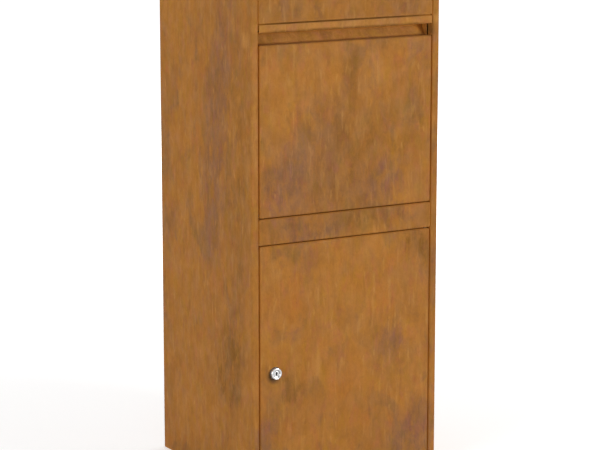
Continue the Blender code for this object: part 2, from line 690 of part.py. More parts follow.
def cam_lock(door_axis, lock_axis):
    """The lock's body and nut on the door, and the plug, cam and screw that turn in it. Their own Z points forward."""
    facing = (math.pi / 2, 0.0, 0.0)
    bore = LOCK_PLUG + FIT
    barrel_end = -(DOOR_FLANGE - SHEET)
    cam_front = -(DOOR_FLANGE + 2 * FIT)
    cam_rear = cam_front - CAM_THICKNESS
    body_profile = [
        (bore, LOCK_HEAD_HEIGHT - LOCK_FACE_RECESS),
        (bore + LOCK_FACE_RECESS, LOCK_HEAD_HEIGHT),
        (LOCK_HEAD - LOCK_HEAD_CHAMFER, LOCK_HEAD_HEIGHT),
        (LOCK_HEAD, LOCK_HEAD_HEIGHT - LOCK_HEAD_CHAMFER),
        (LOCK_HEAD, FIT),
        (LOCK_BARREL, FIT),
        (LOCK_BARREL, barrel_end),
        (bore, barrel_end),
        (bore, LOCK_HEAD_HEIGHT - LOCK_FACE_RECESS),
    ]
    turned("lock_body", body_profile, CHROME, LOCK_AXIS, door_axis, facing, sides=48)
    nut_edge = circle(0.0, 0.0, LOCK_NUT_FLATS / math.sqrt(3.0), 6)
    nut_bore = circle(0.0, 0.0, LOCK_BARREL + FIT, SMALL_SIDES)
    nut_place = LOCK_AXIS + Vector((0.0, SHEET + FIT + LOCK_NUT_HEIGHT / 2, 0.0))
    plate("lock_nut", [nut_edge, nut_bore], LOCK_NUT_HEIGHT, ZINC, nut_place, door_axis, facing)
    plug_face = LOCK_HEAD_HEIGHT - 2 * LOCK_FACE_RECESS
    spigot = LOCK_PLUG * 0.62
    screw_end = cam_front + 3 * CAM_THICKNESS
    plug_profile = [
        (0.0, plug_face),
        (LOCK_PLUG - FIT, plug_face),
        (LOCK_PLUG, plug_face - FIT),
        (LOCK_PLUG, cam_front + FIT),
        (spigot, cam_front + FIT),
        (spigot, cam_rear + FIT),
        (CAM_SCREW + FIT, cam_rear + FIT),
        (CAM_SCREW + FIT, screw_end),
        (0.0, screw_end),
    ]
    plug = turned("lock_plug", plug_profile, CHROME, LOCK_AXIS, lock_axis, facing, sides=40)
    slot_y = LOCK_AXIS.y - plug_face + KEYWAY_DEPTH / 2
    slot_place = (LOCK_AXIS.x, slot_y, LOCK_AXIS.z)
    cut(plug, box_cutter("keyway", slot_place, (KEYWAY_WIDTH, KEYWAY_DEPTH + 2 * FIT, KEYWAY_HEIGHT)))
    hub = CAM_WIDTH / 2
    tip = CAM_WIDTH * 0.36
    cam_edge = [
        *arc(0.0, 0.0, hub, 0.0, math.pi, 14),
        *arc(0.0, -(CAM_REACH - tip), tip, math.pi, 2 * math.pi, 10),
    ]
    cam_place = LOCK_AXIS + Vector((0.0, -(cam_front + cam_rear) / 2, 0.0))
    cam_bore = circle(0.0, 0.0, spigot + FIT)
    plate("lock_cam", [cam_edge, cam_bore], CAM_THICKNESS, ZINC, cam_place, lock_axis, facing)
    head_top = cam_rear - FIT - CAM_SCREW_HEAD_HEIGHT
    screw_profile = [
        (0.0, screw_end - FIT),
        (CAM_SCREW, screw_end - FIT),
        (CAM_SCREW, cam_rear - FIT),
        (CAM_SCREW_HEAD, cam_rear - FIT),
        (CAM_SCREW_HEAD, head_top + FIT),
        (CAM_SCREW_HEAD * 0.7, head_top),
        (0.0, head_top),
    ]
    turned("cam_screw", screw_profile, ZINC, LOCK_AXIS, lock_axis, facing)


def main():
    """Builds every piece."""
    side_panel("left_side_panel", -1.0)
    side_panel("right_side_panel", 1.0)
    back_panel()
    top_panel()
    base_panel()
    cross_members()
    flap_stop()
    baffle()
    pins()
    door_stops()
    flap_axis = axis_empty("flap_axis", FLAP_AXIS)
    flap_panel(flap_axis)
    hopper(flap_axis)
    door_axis = axis_empty("door_axis", DOOR_AXIS)
    door_panel(door_axis)
    lock_axis = axis_empty("lock_axis", LOCK_AXIS, door_axis)
    cam_lock(door_axis, lock_axis)
    bpy.context.view_layer.update()


main()
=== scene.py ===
"""Looks of a free-standing parcel mailbox in weathering steel.

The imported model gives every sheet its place. This script copies the sheets with deburred edges, adds the
weld beads, the spot-weld marks, the pins, the rubber buffers and the cam lock, and gives each piece its
finish. Metres, +Z up, the front faces -Y.
"""

from __future__ import annotations

import json
import logging
import math
from collections.abc import Callable, Mapping, Sequence
from dataclasses import dataclass
from enum import Enum
from itertools import product

import bmesh
import bpy
from bmesh.types import BMesh, BMVert
from bpy.types import ID, Material, Mesh, Node, NodeSocket, NodeTree, Object
from mathutils import Matrix, Vector

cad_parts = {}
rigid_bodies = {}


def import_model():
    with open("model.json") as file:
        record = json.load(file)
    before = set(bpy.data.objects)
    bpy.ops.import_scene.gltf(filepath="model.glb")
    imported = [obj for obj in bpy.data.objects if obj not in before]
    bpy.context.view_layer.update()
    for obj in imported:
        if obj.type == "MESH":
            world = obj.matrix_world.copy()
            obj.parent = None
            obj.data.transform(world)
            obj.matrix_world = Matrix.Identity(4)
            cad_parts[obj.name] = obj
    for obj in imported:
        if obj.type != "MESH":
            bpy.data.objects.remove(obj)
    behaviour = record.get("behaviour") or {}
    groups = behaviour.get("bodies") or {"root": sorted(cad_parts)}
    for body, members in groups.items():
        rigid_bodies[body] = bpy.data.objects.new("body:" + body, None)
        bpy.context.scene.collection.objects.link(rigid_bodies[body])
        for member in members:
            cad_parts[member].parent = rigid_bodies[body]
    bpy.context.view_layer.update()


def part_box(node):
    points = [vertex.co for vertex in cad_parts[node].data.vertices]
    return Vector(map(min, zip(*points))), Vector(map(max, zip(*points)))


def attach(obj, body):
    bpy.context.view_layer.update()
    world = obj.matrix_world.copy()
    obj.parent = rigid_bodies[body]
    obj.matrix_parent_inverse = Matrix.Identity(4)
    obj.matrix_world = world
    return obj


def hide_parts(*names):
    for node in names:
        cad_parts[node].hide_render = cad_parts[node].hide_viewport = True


LOG = logging.getLogger("parcel_mailbox")

Colour = tuple[float, float, float]
Point = tuple[float, float, float]
Run = tuple[Vector, Vector]
Outline = list[tuple[float, float]]
Feed = float | int | Sequence[float] | NodeSocket | ID
Given = Mapping[str, NodeSocket]

FIT = 0.0003  # gap between pieces that lie on each other
SHEET = 0.002
FRONT_Y, LEFT_X = -0.180, -0.200  # faces of the front and of the left side
FRONT, BACK = Vector((0.0, -1.0, 0.0)), Vector((0.0, 1.0, 0.0))
ORIGIN = (0.0, 0.0, 0.0)
MIDDLE_GREY = (0.5, 0.5, 0.5)
PATCH_FADE = (1.35, 0.45)  # distances, in radii, at which a patch begins and is full
CREVICE_FADE = (0.92, 0.35)  # openness at which the tint of inner corners and gaps, painted light on the steel and painted shade on the plating, begins and is full
CREASE = math.radians(30.0)  # edges of turned shapes that bend more stay sharp
BRACKETS = ("baffle_bracket_left", "baffle_bracket_right")


class Body(Enum):
    """The bodies that pieces ride on."""

    CASING = "casing"
    FLAP = "flap"
    DOOR = "door"
    LOCK = "lock"


class Slot(Enum):
    """The record's material slots."""

    OUTER = "weathering_steel"
    INNER = "inner_weathering_steel"
    CHROME = "chromed_zinc"
    ZINC = "zinc_plated_steel"
    RUBBER = "black_rubber"


class Side(Enum):
    """Left or right of someone who faces the front."""

    LEFT = -1.0
    RIGHT = 1.0


class Graph:
    """Wires the nodes of one tree."""

    def __init__(self, tree: NodeTree) -> None:
        """Keeps the tree to wire."""
        self.tree = tree

    def wire(self, node: Node, feeds: Mapping[str | int, Feed]) -> None:
        """Links outputs to a node's inputs, or sets the inputs' own values.

        Args:
            node: The node to wire.
            feeds: Values or outputs for its inputs, by name or index.
        """
        for name, value in feeds.items():
            if isinstance(value, NodeSocket):
                self.tree.links.new(value, node.inputs[name])
            else:
                node.inputs[name].default_value = value

    def add(self, kind: str, feeds: Mapping[str | int, Feed] | None = None, **settings: object) -> Node:
        """Adds a node.

        Args:
            kind: The node's type.
            feeds: Values or outputs for its inputs, by name or index.
            **settings: The node's own properties.

        Returns:
            The node.
        """
        node = self.tree.nodes.new(kind)
        for name, value in settings.items():
            setattr(node, name, value)
        self.wire(node, feeds or {})
        return node

    def maths(self, operation: str, first: Feed, second: Feed) -> NodeSocket:
        """The result of a Math node."""
        return self.add("ShaderNodeMath", {0: first, 1: second}, operation=operation).outputs[0]

    def vector(self, operation: str, first: Feed, second: Feed) -> NodeSocket:
        """The vector that a Vector Math node gives for two inputs."""
        return self.add("ShaderNodeVectorMath", {0: first, 1: second}, operation=operation).outputs[0]

    def scaled(self, vector: Feed, factor: Feed) -> NodeSocket:
        """A vector times a number."""
        return self.add("ShaderNodeVectorMath", {0: vector, 3: factor}, operation="SCALE").outputs[0]

    def length(self, vector: Feed) -> NodeSocket:
        """A vector's length."""
        return self.add("ShaderNodeVectorMath", {0: vector}, operation="LENGTH").outputs["Value"]

    def remap(self, value: Feed, low: Feed, high: Feed, start: float = 0.0, end: float = 1.0) -> NodeSocket:
        """A smooth step of a value from start, at low, to end, at high."""
        feeds = {"Value": value, "From Min": low, "From Max": high, "To Min": start, "To Max": end}
        return self.add("ShaderNodeMapRange", feeds, interpolation_type="SMOOTHSTEP").outputs[0]

    def mix(self, share: Feed, first: Feed, second: Feed, blend: str = "MIX") -> NodeSocket:
        """One colour mixed into another."""
        feeds = {0: share, 6: opaque(first), 7: opaque(second)}
        return self.add("ShaderNodeMix", feeds, data_type="RGBA", blend_type=blend).outputs[2]

    def tint(self, mask: Feed, share: Feed, colour: Feed, tone: Feed, blend: str = "MIX") -> NodeSocket:
        """A colour with a share of a tone where a mask lets it through."""
        return self.mix(self.maths("MULTIPLY", mask, share), colour, tone, blend)

    def between(self, share: Feed, first: Feed, second: Feed) -> NodeSocket:
        """A number between two others."""
        return self.add("ShaderNodeMix", {0: share, 2: first, 3: second}, data_type="FLOAT").outputs[0]

    def place(self) -> NodeSocket:
        """The point on the piece, in the piece's own frame."""
        return self.add("ShaderNodeTexCoord").outputs["Object"]

    def noise(self, point: Feed, scale: Feed, output: int | str = 0, **shape: Feed) -> NodeSocket:
        """A noise pattern at a point: its value, or its colour as a vector.

        Args:
            point: Where to read the pattern.
            scale: How many grains a metre holds.
            output: The output's index or name.
            **shape: Other inputs, in lower case.

        Returns:
            The chosen output.
        """
        feeds = {name.capitalize(): value for name, value in shape.items()}
        feeds |= {"Vector": point, "Scale": scale}
        return self.add("ShaderNodeTexNoise", feeds).outputs[output]

    def cells(self, point: Feed, scale: Feed) -> Given:
        """The outputs of a pattern of cells."""
        return self.add("ShaderNodeTexVoronoi", {"Vector": point, "Scale": scale}).outputs

    def bump(self, height: Feed, depth: float, strength: float = 1.0) -> NodeSocket:
        """The normal of a surface with a relief."""
        feeds = {"Strength": strength, "Distance": depth, "Height": height}
        return self.add("ShaderNodeBump", feeds).outputs[0]


def opaque(value: Feed) -> Feed:
    """A plain colour with its alpha, or the value as it is."""
    return (*value, 1.0) if isinstance(value, tuple) and len(value) == 3 else value


def give_sockets(tree: NodeTree, way: str, kinds: Mapping[str, str]) -> None:
    """Adds inputs or outputs, by name and type, to a tree's interface."""
    for label, kind in kinds.items():
        tree.interface.new_socket(label, in_out=way, socket_type=f"NodeSocket{kind}")


@dataclass(frozen=True)
class Effect:
    """A shader node group that several finishes place with their own values."""

    name: str
    wire: Callable[[Graph, Given], NodeSocket]
    numbers: tuple[str, ...]
    vectors: tuple[str, ...] = ()

    def tree(self) -> NodeTree:
        """The group, built at its first use.

        Returns:
            The group's tree.
        """
        found = bpy.data.node_groups.get(self.name)
        if found is not None:
            return found
        tree = bpy.data.node_groups.new(self.name, "ShaderNodeTree")
        give_sockets(tree, "INPUT", dict.fromkeys(self.numbers, "Float"))
        give_sockets(tree, "INPUT", dict.fromkeys(self.vectors, "Vector"))
        give_sockets(tree, "OUTPUT", {"Mask": "Float"})
        graph = Graph(tree)
        entry = graph.add("NodeGroupInput")
        graph.add("NodeGroupOutput", {0: self.wire(graph, entry.outputs)})
        return tree

    def use(self, graph: Graph, **values: Feed) -> NodeSocket:
        """Places the group in a material.

        Args:
            graph: The material's graph.
            **values: The group's inputs, in lower case.

        Returns:
            The group's mask.
        """
        feeds = {name.capitalize(): value for name, value in values.items()}
        return graph.add("ShaderNodeGroup", feeds, node_tree=self.tree()).outputs[0]


def stretched(graph: Graph, stretch: Feed, shift: Feed) -> NodeSocket:
    """The point on the piece, moved, and pressed in height so that a pattern on it runs upright.

    Args:
        graph: The tree's graph.
        stretch: How many times taller the pattern gets.
        shift: How far the point is moved.

    Returns:
        The point for a texture.
    """
    moved = graph.vector("ADD", graph.place(), shift)
    height = graph.maths("DIVIDE", 1.0, stretch)
    squeeze = graph.add("ShaderNodeCombineXYZ", {0: 1.0, 1: 1.0, 2: height}).outputs[0]
    return graph.vector("MULTIPLY", moved, squeeze)


def openness(graph: Graph, reach: Feed, samples: int, alone: bool) -> NodeSocket:
    """How open the surface lies, with a piece taken alone or among its neighbours."""
    feeds = {"Distance": reach}
    return graph.add("ShaderNodeAmbientOcclusion", feeds, samples=samples, only_local=alone).outputs["AO"]


def wire_clouds(graph: Graph, given: Given) -> NodeSocket:
    """Soft patches, or streaks where they are stretched upright.

    Args:
        graph: The group's graph.
        given: The group's inputs by name.

    Returns:
        The mask.
    """
    point = stretched(graph, given["Stretch"], given["Shift"])
    shape = {"detail": 6.0, "roughness": given["Grain"], "distortion": given["Distortion"]}
    return graph.remap(graph.noise(point, given["Scale"], **shape), given["Low"], given["High"])


def wire_flecks(graph: Graph, given: Given) -> NodeSocket:
    """Small separate flecks with ragged rims.

    Args:
        graph: The group's graph.
        given: The group's inputs by name.

    Returns:
        The mask.
    """
    scale, size = given["Scale"], given["Size"]
    point = stretched(graph, given["Stretch"], given["Shift"])
    rough = graph.noise(point, graph.maths("MULTIPLY", scale, 3.0), "Color")
    bend = graph.vector("SUBTRACT", rough, MIDDLE_GREY)
    swing = graph.scaled(bend, graph.maths("DIVIDE", 0.5, scale))
    cells = graph.cells(graph.vector("ADD", point, swing), scale)
    draw = graph.add("ShaderNodeSeparateColor", {0: cells["Color"]}).outputs[0]
    spot = graph.remap(cells["Distance"], size, graph.maths("MULTIPLY", size, 0.3))
    return graph.maths("MULTIPLY", spot, graph.maths("LESS_THAN", draw, given["Share"]))


def wire_tone_patch(graph: Graph, given: Given) -> NodeSocket:
    """One soft patch round a place, its rim pushed about by a ragged vector.

    Args:
        graph: The group's graph.
        given: The group's inputs by name.

    Returns:
        The mask, one at the patch's middle.
    """
    moved = graph.vector("ADD", graph.place(), given["Ragged"])
    offset = graph.vector("SUBTRACT", moved, given["Centre"])
    return graph.remap(graph.length(graph.vector("DIVIDE", offset, given["Radii"])), *PATCH_FADE)


def wire_edges(graph: Graph, given: Given) -> NodeSocket:
    """Convex edges and folds lightened for wear and as a painted highlight, broken up along their length.

    Args:
        graph: The group's graph.
        given: The group's inputs by name.

    Returns:
        The mask.
    """
    rounded = graph.add("ShaderNodeBevel", {"Radius": given["Reach"]}, samples=6).outputs[0]
    feeds = {0: rounded, 1: graph.add("ShaderNodeNewGeometry").outputs["Normal"]}
    likeness = graph.add("ShaderNodeVectorMath", feeds, operation="DOT_PRODUCT").outputs["Value"]
    bent = graph.remap(graph.maths("SUBTRACT", 1.0, likeness), 0.005, 0.12)
    convex = graph.maths("MULTIPLY", bent, graph.remap(openness(graph, 0.004, 4, alone=True), 0.55, 0.9))
    patches = graph.remap(graph.noise(graph.place(), 90.0, detail=3.0), 0.40, 0.60)
    return graph.maths("MULTIPLY", convex, graph.between(given["Breakup"], 1.0, patches))


def wire_crevices(graph: Graph, given: Given) -> NodeSocket:
    """Inner corners, gaps and laps, by how closed in they lie: where light is painted on the steel and shade
    on the plating.
    """
    return graph.remap(openness(graph, given["Reach"], 6, alone=False), *CREVICE_FADE)


def wire_pits(graph: Graph, given: Given) -> NodeSocket:
    """The height of scale and pits: coarse blisters, a fine tooth and a few pinholes.

    Args:
        graph: The group's graph.
        given: The group's inputs by name.

    Returns:
        The height.
    """
    place, scale = graph.place(), given["Scale"]
    coarse = graph.maths("MULTIPLY", graph.noise(place, scale, detail=4.0), 0.6)
    tooth = graph.noise(place, graph.maths("MULTIPLY", scale, 6.0), detail=3.0)
    body = graph.maths("ADD", coarse, graph.maths("MULTIPLY", tooth, 0.4))
    holes = graph.cells(place, graph.maths("MULTIPLY", scale, 2.2))["Distance"]
    pinholes = graph.maths("MULTIPLY", graph.remap(holes, 0.24, 0.05), given["Pinholes"])
    return graph.maths("SUBTRACT", body, pinholes)


def wire_dust(graph: Graph, given: Given) -> NodeSocket:
    """Pale dust on what faces up.

    Args:
        graph: The group's graph.
        given: The group's inputs by name.

    Returns:
        The mask.
    """
    normal = graph.add("ShaderNodeNewGeometry").outputs["Normal"]
    up = graph.add("ShaderNodeSeparateXYZ", {0: normal}).outputs["Z"]
    drift = graph.remap(graph.noise(graph.place(), 7.0, detail=8.0, roughness=0.66), 0.05, 0.95)
    settled = graph.maths("MULTIPLY", graph.remap(up, 0.45, 0.95), drift)
    return graph.maths("MULTIPLY", settled, given["Amount"])


CLOUDS = Effect(
    "rust_clouds", wire_clouds, ("Scale", "Stretch", "Grain", "Distortion", "Low", "High"), ("Shift",)
)
FLECKS = Effect("rust_flecks", wire_flecks, ("Scale", "Stretch", "Size", "Share"), ("Shift",))
TONE_PATCH = Effect("run_off_stain", wire_tone_patch, (), ("Centre", "Radii", "Ragged"))
EDGES = Effect("worn_edges", wire_edges, ("Reach", "Breakup"))
CREVICES = Effect("damp_crevices", wire_crevices, ("Reach",))
PITS = Effect("scale_and_pits", wire_pits, ("Scale", "Pinholes"))
DUST = Effect("settled_dust", wire_dust, ("Amount",))


class Tone(Enum):
    """The tones of the patina, and of the painted light and shade on it, as linear colours."""

    GOLD = (0.430, 0.173, 0.026)
    ORANGE = (0.432, 0.160, 0.024)
    OCHRE = (0.362, 0.147, 0.026)
    BROWN = (0.270, 0.112, 0.028)
    VIOLET = (0.240, 0.105, 0.046)
    UMBER = (0.222, 0.090, 0.010)
    # AMBER is only painted light: a lighter grip recess and strip, and a painted highlight down the left
    # corner
    AMBER = (0.560, 0.250, 0.058)
    # painted light that lifts the shade in gaps, inner corners and the grip's end corner
    FRESH = (0.680, 0.275, 0.034)
    # painted shade: the lock's shadow and a dark line in the gap above the strip
    SOOT = (0.030, 0.016, 0.008)
    DULL = (0.268, 0.120, 0.034)
    DEEP = (0.150, 0.060, 0.018)
    PALE = (0.580, 0.290, 0.075)
    DUST = (0.420, 0.225, 0.095)


@dataclass(frozen=True)
class TonePatch:
    """A soft patch of one tone, used for rain and drip stains on the patina and for painted light and shade.
    """

    centre: Point
    radii: Point
    tone: Tone
    strength: float
    raggedness: float = 1.0

    def mask(self, graph: Graph, ragged: Feed) -> NodeSocket:
        """The patch's mask in a material, its rim pushed about by a ragged vector."""
        return TONE_PATCH.use(graph, centre=self.centre, radii=self.radii, ragged=ragged)


PatchRow = tuple[float, float, float, float, Tone, float]


def front_patches(*rows: PatchRow) -> tuple[TonePatch, ...]:
    """Patches of one tone on the front's sheets, by x, z, width, height, tone and strength."""
    return tuple(TonePatch((x, FRONT_Y, z), (wide, 0.030, high), *looks) for x, z, wide, high, *looks in rows)


def side_stains(*rows: PatchRow) -> tuple[TonePatch, ...]:
    """Stains on the left side, by y, z, width, height, tone and strength."""
    return tuple(TonePatch((LEFT_X, y, z), (0.012, wide, high), *looks) for y, z, wide, high, *looks in rows)


def strip_shade_line(y: float, z: float, deep: float, high: float, *looks: Tone | float) -> tuple[TonePatch, ...]:
    """A row of small patches that paints one line of shade along the strip, clear of the stiles."""
    pitch, wide = 0.045, 0.037
    return tuple(TonePatch((pitch * step, y, z), (wide, deep, high), *looks, 0.0) for step in range(-3, 4))


FRONT_PATCHES = front_patches(
    (0.000, 0.270, 0.190, 0.190, Tone.GOLD, 0.50), (-0.141, 0.775, 0.035, 0.050, Tone.GOLD, 0.60),
    (-0.060, 0.768, 0.045, 0.040, Tone.GOLD, 0.60), (0.092, 0.757, 0.070, 0.070, Tone.GOLD, 0.20),
    (0.130, 0.670, 0.060, 0.080, Tone.UMBER, 0.35), (-0.130, 0.560, 0.050, 0.070, Tone.VIOLET, 0.90),
    (-0.085, 0.605, 0.060, 0.070, Tone.VIOLET, 0.60), (-0.018, 0.650, 0.060, 0.095, Tone.BROWN, 0.85),
    (0.035, 0.600, 0.080, 0.095, Tone.UMBER, 0.50), (-0.035, 0.552, 0.075, 0.055, Tone.BROWN, 1.00),
    (0.085, 0.562, 0.060, 0.045, Tone.VIOLET, 0.80), (-0.152, 0.691, 0.026, 0.036, Tone.GOLD, 0.80),
    (0.011, 0.765, 0.022, 0.060, Tone.UMBER, 0.50), (-0.079, 0.480, 0.080, 0.024, Tone.VIOLET, 1.00),
    (0.028, 0.500, 0.045, 0.017, Tone.UMBER, 0.60), (0.118, 0.498, 0.050, 0.014, Tone.VIOLET, 0.60),
    (0.000, 0.488, 0.260, 0.024, Tone.UMBER, 0.38), (-0.014, 0.385, 0.060, 0.045, Tone.GOLD, 0.85),
    (-0.111, 0.352, 0.048, 0.036, Tone.ORANGE, 1.00), (0.074, 0.335, 0.044, 0.032, Tone.ORANGE, 0.90),
    (-0.003, 0.188, 0.042, 0.042, Tone.ORANGE, 1.00), (0.078, 0.436, 0.040, 0.020, Tone.GOLD, 0.80),
    (-0.089, 0.416, 0.026, 0.032, Tone.VIOLET, 0.35), (0.156, 0.430, 0.030, 0.030, Tone.UMBER, 0.85),
    (0.096, 0.255, 0.026, 0.032, Tone.VIOLET, 0.75), (-0.116, 0.180, 0.022, 0.028, Tone.UMBER, 0.85),
    (-0.172, 0.096, 0.020, 0.040, Tone.VIOLET, 0.75), (0.143, 0.062, 0.050, 0.065, Tone.VIOLET, 0.95),
    (-0.131, 0.905, 0.014, 0.026, Tone.VIOLET, 0.60), (0.133, 0.890, 0.026, 0.026, Tone.VIOLET, 0.55),
    # the AMBER strip down the left corner near z 0.683 is a painted highlight, and the UMBER strip down the
    # right stile at x 0.193 is painted shade
    (0.020, 0.885, 0.260, 0.060, Tone.UMBER, 0.35), (-0.193, 0.683, 0.007, 0.056, Tone.AMBER, 0.60),
    (-0.193, 0.480, 0.009, 0.480, Tone.GOLD, 0.55), (0.193, 0.560, 0.008, 0.400, Tone.UMBER, 0.35),
)
SIDE_STAINS = side_stains(
    (0.115, 0.890, 0.075, 0.080, Tone.GOLD, 1.00), (0.101, 0.506, 0.050, 0.090, Tone.GOLD, 0.60),
    (0.085, 0.310, 0.100, 0.120, Tone.GOLD, 0.85), (0.040, 0.110, 0.120, 0.080, Tone.GOLD, 1.00),
    (-0.130, 0.620, 0.055, 0.270, Tone.UMBER, 0.40), (-0.083, 0.850, 0.046, 0.100, Tone.VIOLET, 0.58),
    (-0.060, 0.750, 0.050, 0.100, Tone.VIOLET, 0.50), (-0.045, 0.655, 0.048, 0.120, Tone.VIOLET, 0.58),
    (-0.032, 0.550, 0.044, 0.100, Tone.VIOLET, 0.65), (-0.022, 0.465, 0.036, 0.070, Tone.VIOLET, 0.65),
    (-0.124, 0.360, 0.034, 0.080, Tone.BROWN, 0.45), (-0.150, 0.110, 0.035, 0.080, Tone.GOLD, 0.80),
    (-0.104, 0.258, 0.046, 0.050, Tone.UMBER, 0.95), (-0.092, 0.187, 0.046, 0.040, Tone.UMBER, 1.00),
    (0.134, 0.462, 0.022, 0.032, Tone.VIOLET, 0.50),
)
# painted light and shade in the grip recess: a lighter strip face and recess back, light that lifts the shade
# in the recess's right end corner, and painted shade at that end and under the strip
GRIP_LIGHT_AND_SHADE = (
    TonePatch((0.0, -0.180, 0.8570), (0.30, 0.006, 0.0100), Tone.AMBER, 0.50, 0.1),
    TonePatch((0.0, -0.158, 0.836), (0.30, 0.018, 0.020), Tone.AMBER, 1.00, 0.1),
    TonePatch((0.174, -0.152, 0.841), (0.013, 0.012, 0.014), Tone.FRESH, 1.00, 0.05),
    TonePatch((0.187, -0.172, 0.837), (0.004, 0.012, 0.014), Tone.UMBER, 1.00, 0.05),
    TonePatch((0.176, -0.168, 0.829), (0.010, 0.014, 0.009), Tone.UMBER, 0.80, 0.1),
    *strip_shade_line(-0.1800, 0.8478, 0.0080, 0.0042, Tone.UMBER, 0.90),
)
# painted shade: the lock's shadow below left of its head, and a dark line in the gap above the strip
LOCK_AND_GAP_SHADE = (
    TonePatch((-0.1550, -0.180, 0.2172), (0.0135, 0.030, 0.0135), Tone.SOOT, 0.80),
    *strip_shade_line(-0.1735, 0.8632, 0.0085, 0.0032, Tone.SOOT, 0.40),
)


@dataclass(frozen=True)
class Patches:
    """The pattern of one layer of soft patches."""

    scale: float
    stretch: float
    shift: Point
    grain: float
    distortion: float
    low: float
    high: float

    def mask(self, graph: Graph) -> NodeSocket:
        """The layer's mask in a material."""
        return CLOUDS.use(graph, **vars(self))


@dataclass(frozen=True)
class Mark:
    """Patches that shade the patina by factors of its colour, or mix a tone into it."""

    patches: Patches
    share: float
    colour: Colour
    blend: str = "MULTIPLY"


WARM = Patches(21.0, 1.3, (3.1, 1.7, 0.4), 0.62, 0.5, 0.44, 0.66)
BRIGHT = Patches(17.0, 1.5, (7.4, 2.9, 5.0), 0.60, 0.4, 0.46, 0.64)
DULL = Patches(18.0, 1.6, (1.2, 8.3, 2.6), 0.66, 0.7, 0.50, 0.66)
BROKEN = Patches(48.0, 2.2, (6.1, 3.3, 8.8), 0.70, 0.6, 0.36, 0.62)
SHEEN = Patches(40.0, 1.6, (2.0, 2.0, 2.0), 0.6, 0.3, 0.35, 0.65)
WELD_RUST = Patches(160.0, 1.0, (1.0, 2.0, 3.0), 0.6, 0.2, 0.40, 0.62)
HAZE = Patches(420.0, 1.0, (4.0, 1.0, 6.0), 0.6, 0.3, 0.42, 0.66)
SCRATCHES = Patches(1500.0, 30.0, (2.0, 7.0, 1.0), 0.5, 0.0, 0.60, 0.72)
BLOOM = Patches(500.0, 1.0, (1.0, 1.0, 1.0), 0.65, 0.2, 0.40, 0.70)
MARKS = (
    Mark(Patches(62.0, 2.0, (8.2, 0.4, 3.1), 0.60, 0.6, 0.50, 0.68), 0.55, (1.02, 0.86, 1.50)),  # rosy
    Mark(Patches(54.0, 2.2, (0.9, 7.3, 6.4), 0.60, 0.6, 0.50, 0.68), 0.55, (0.98, 1.08, 0.60)),  # mossy
    Mark(Patches(75.0, 1.3, (2.2, 5.1, 7.7), 0.72, 0.8, 0.40, 0.64), 0.28, (0.66, 0.66, 0.64)),  # dabs
    Mark(Patches(110.0, 6.0, (0.7, 0.2, 0.9), 0.48, 0.5, 0.50, 0.70), 0.24, (0.62, 0.60, 0.58)),  # runs
    Mark(Patches(120.0, 6.0, (4.7, 6.2, 3.9), 0.48, 0.5, 0.54, 0.74), 0.22, Tone.PALE.value, "MIX"),  # pale
    Mark(Patches(300.0, 1.4, (9.0, 1.0, 2.0), 0.65, 0.0, 0.36, 0.66), 0.20, (0.66, 0.64, 0.62)),  # mottle
    Mark(Patches(1100.0, 1.1, (3.0, 6.0, 1.0), 0.72, 0.2, 0.34, 0.66), 0.24, (0.62, 0.58, 0.56)),  # tooth
)


def blank_material(name: str) -> tuple[Material, Graph, Node]:
    """A new material with its graph and its Principled BSDF.

    Args:
        name: The material's name.

    Returns:
        The material, its graph and its shader.
    """
    material = bpy.data.materials.new(name)
    material.use_nodes = True
    return material, Graph(material.node_tree), material.node_tree.nodes["Principled BSDF"]


def pitted(graph: Graph, scale: float, pinholes: float, depth: float, strength: float = 1.0) -> NodeSocket:
    """The normal of a surface with scale and pits."""
    return graph.bump(PITS.use(graph, scale=scale, pinholes=pinholes), depth, strength)


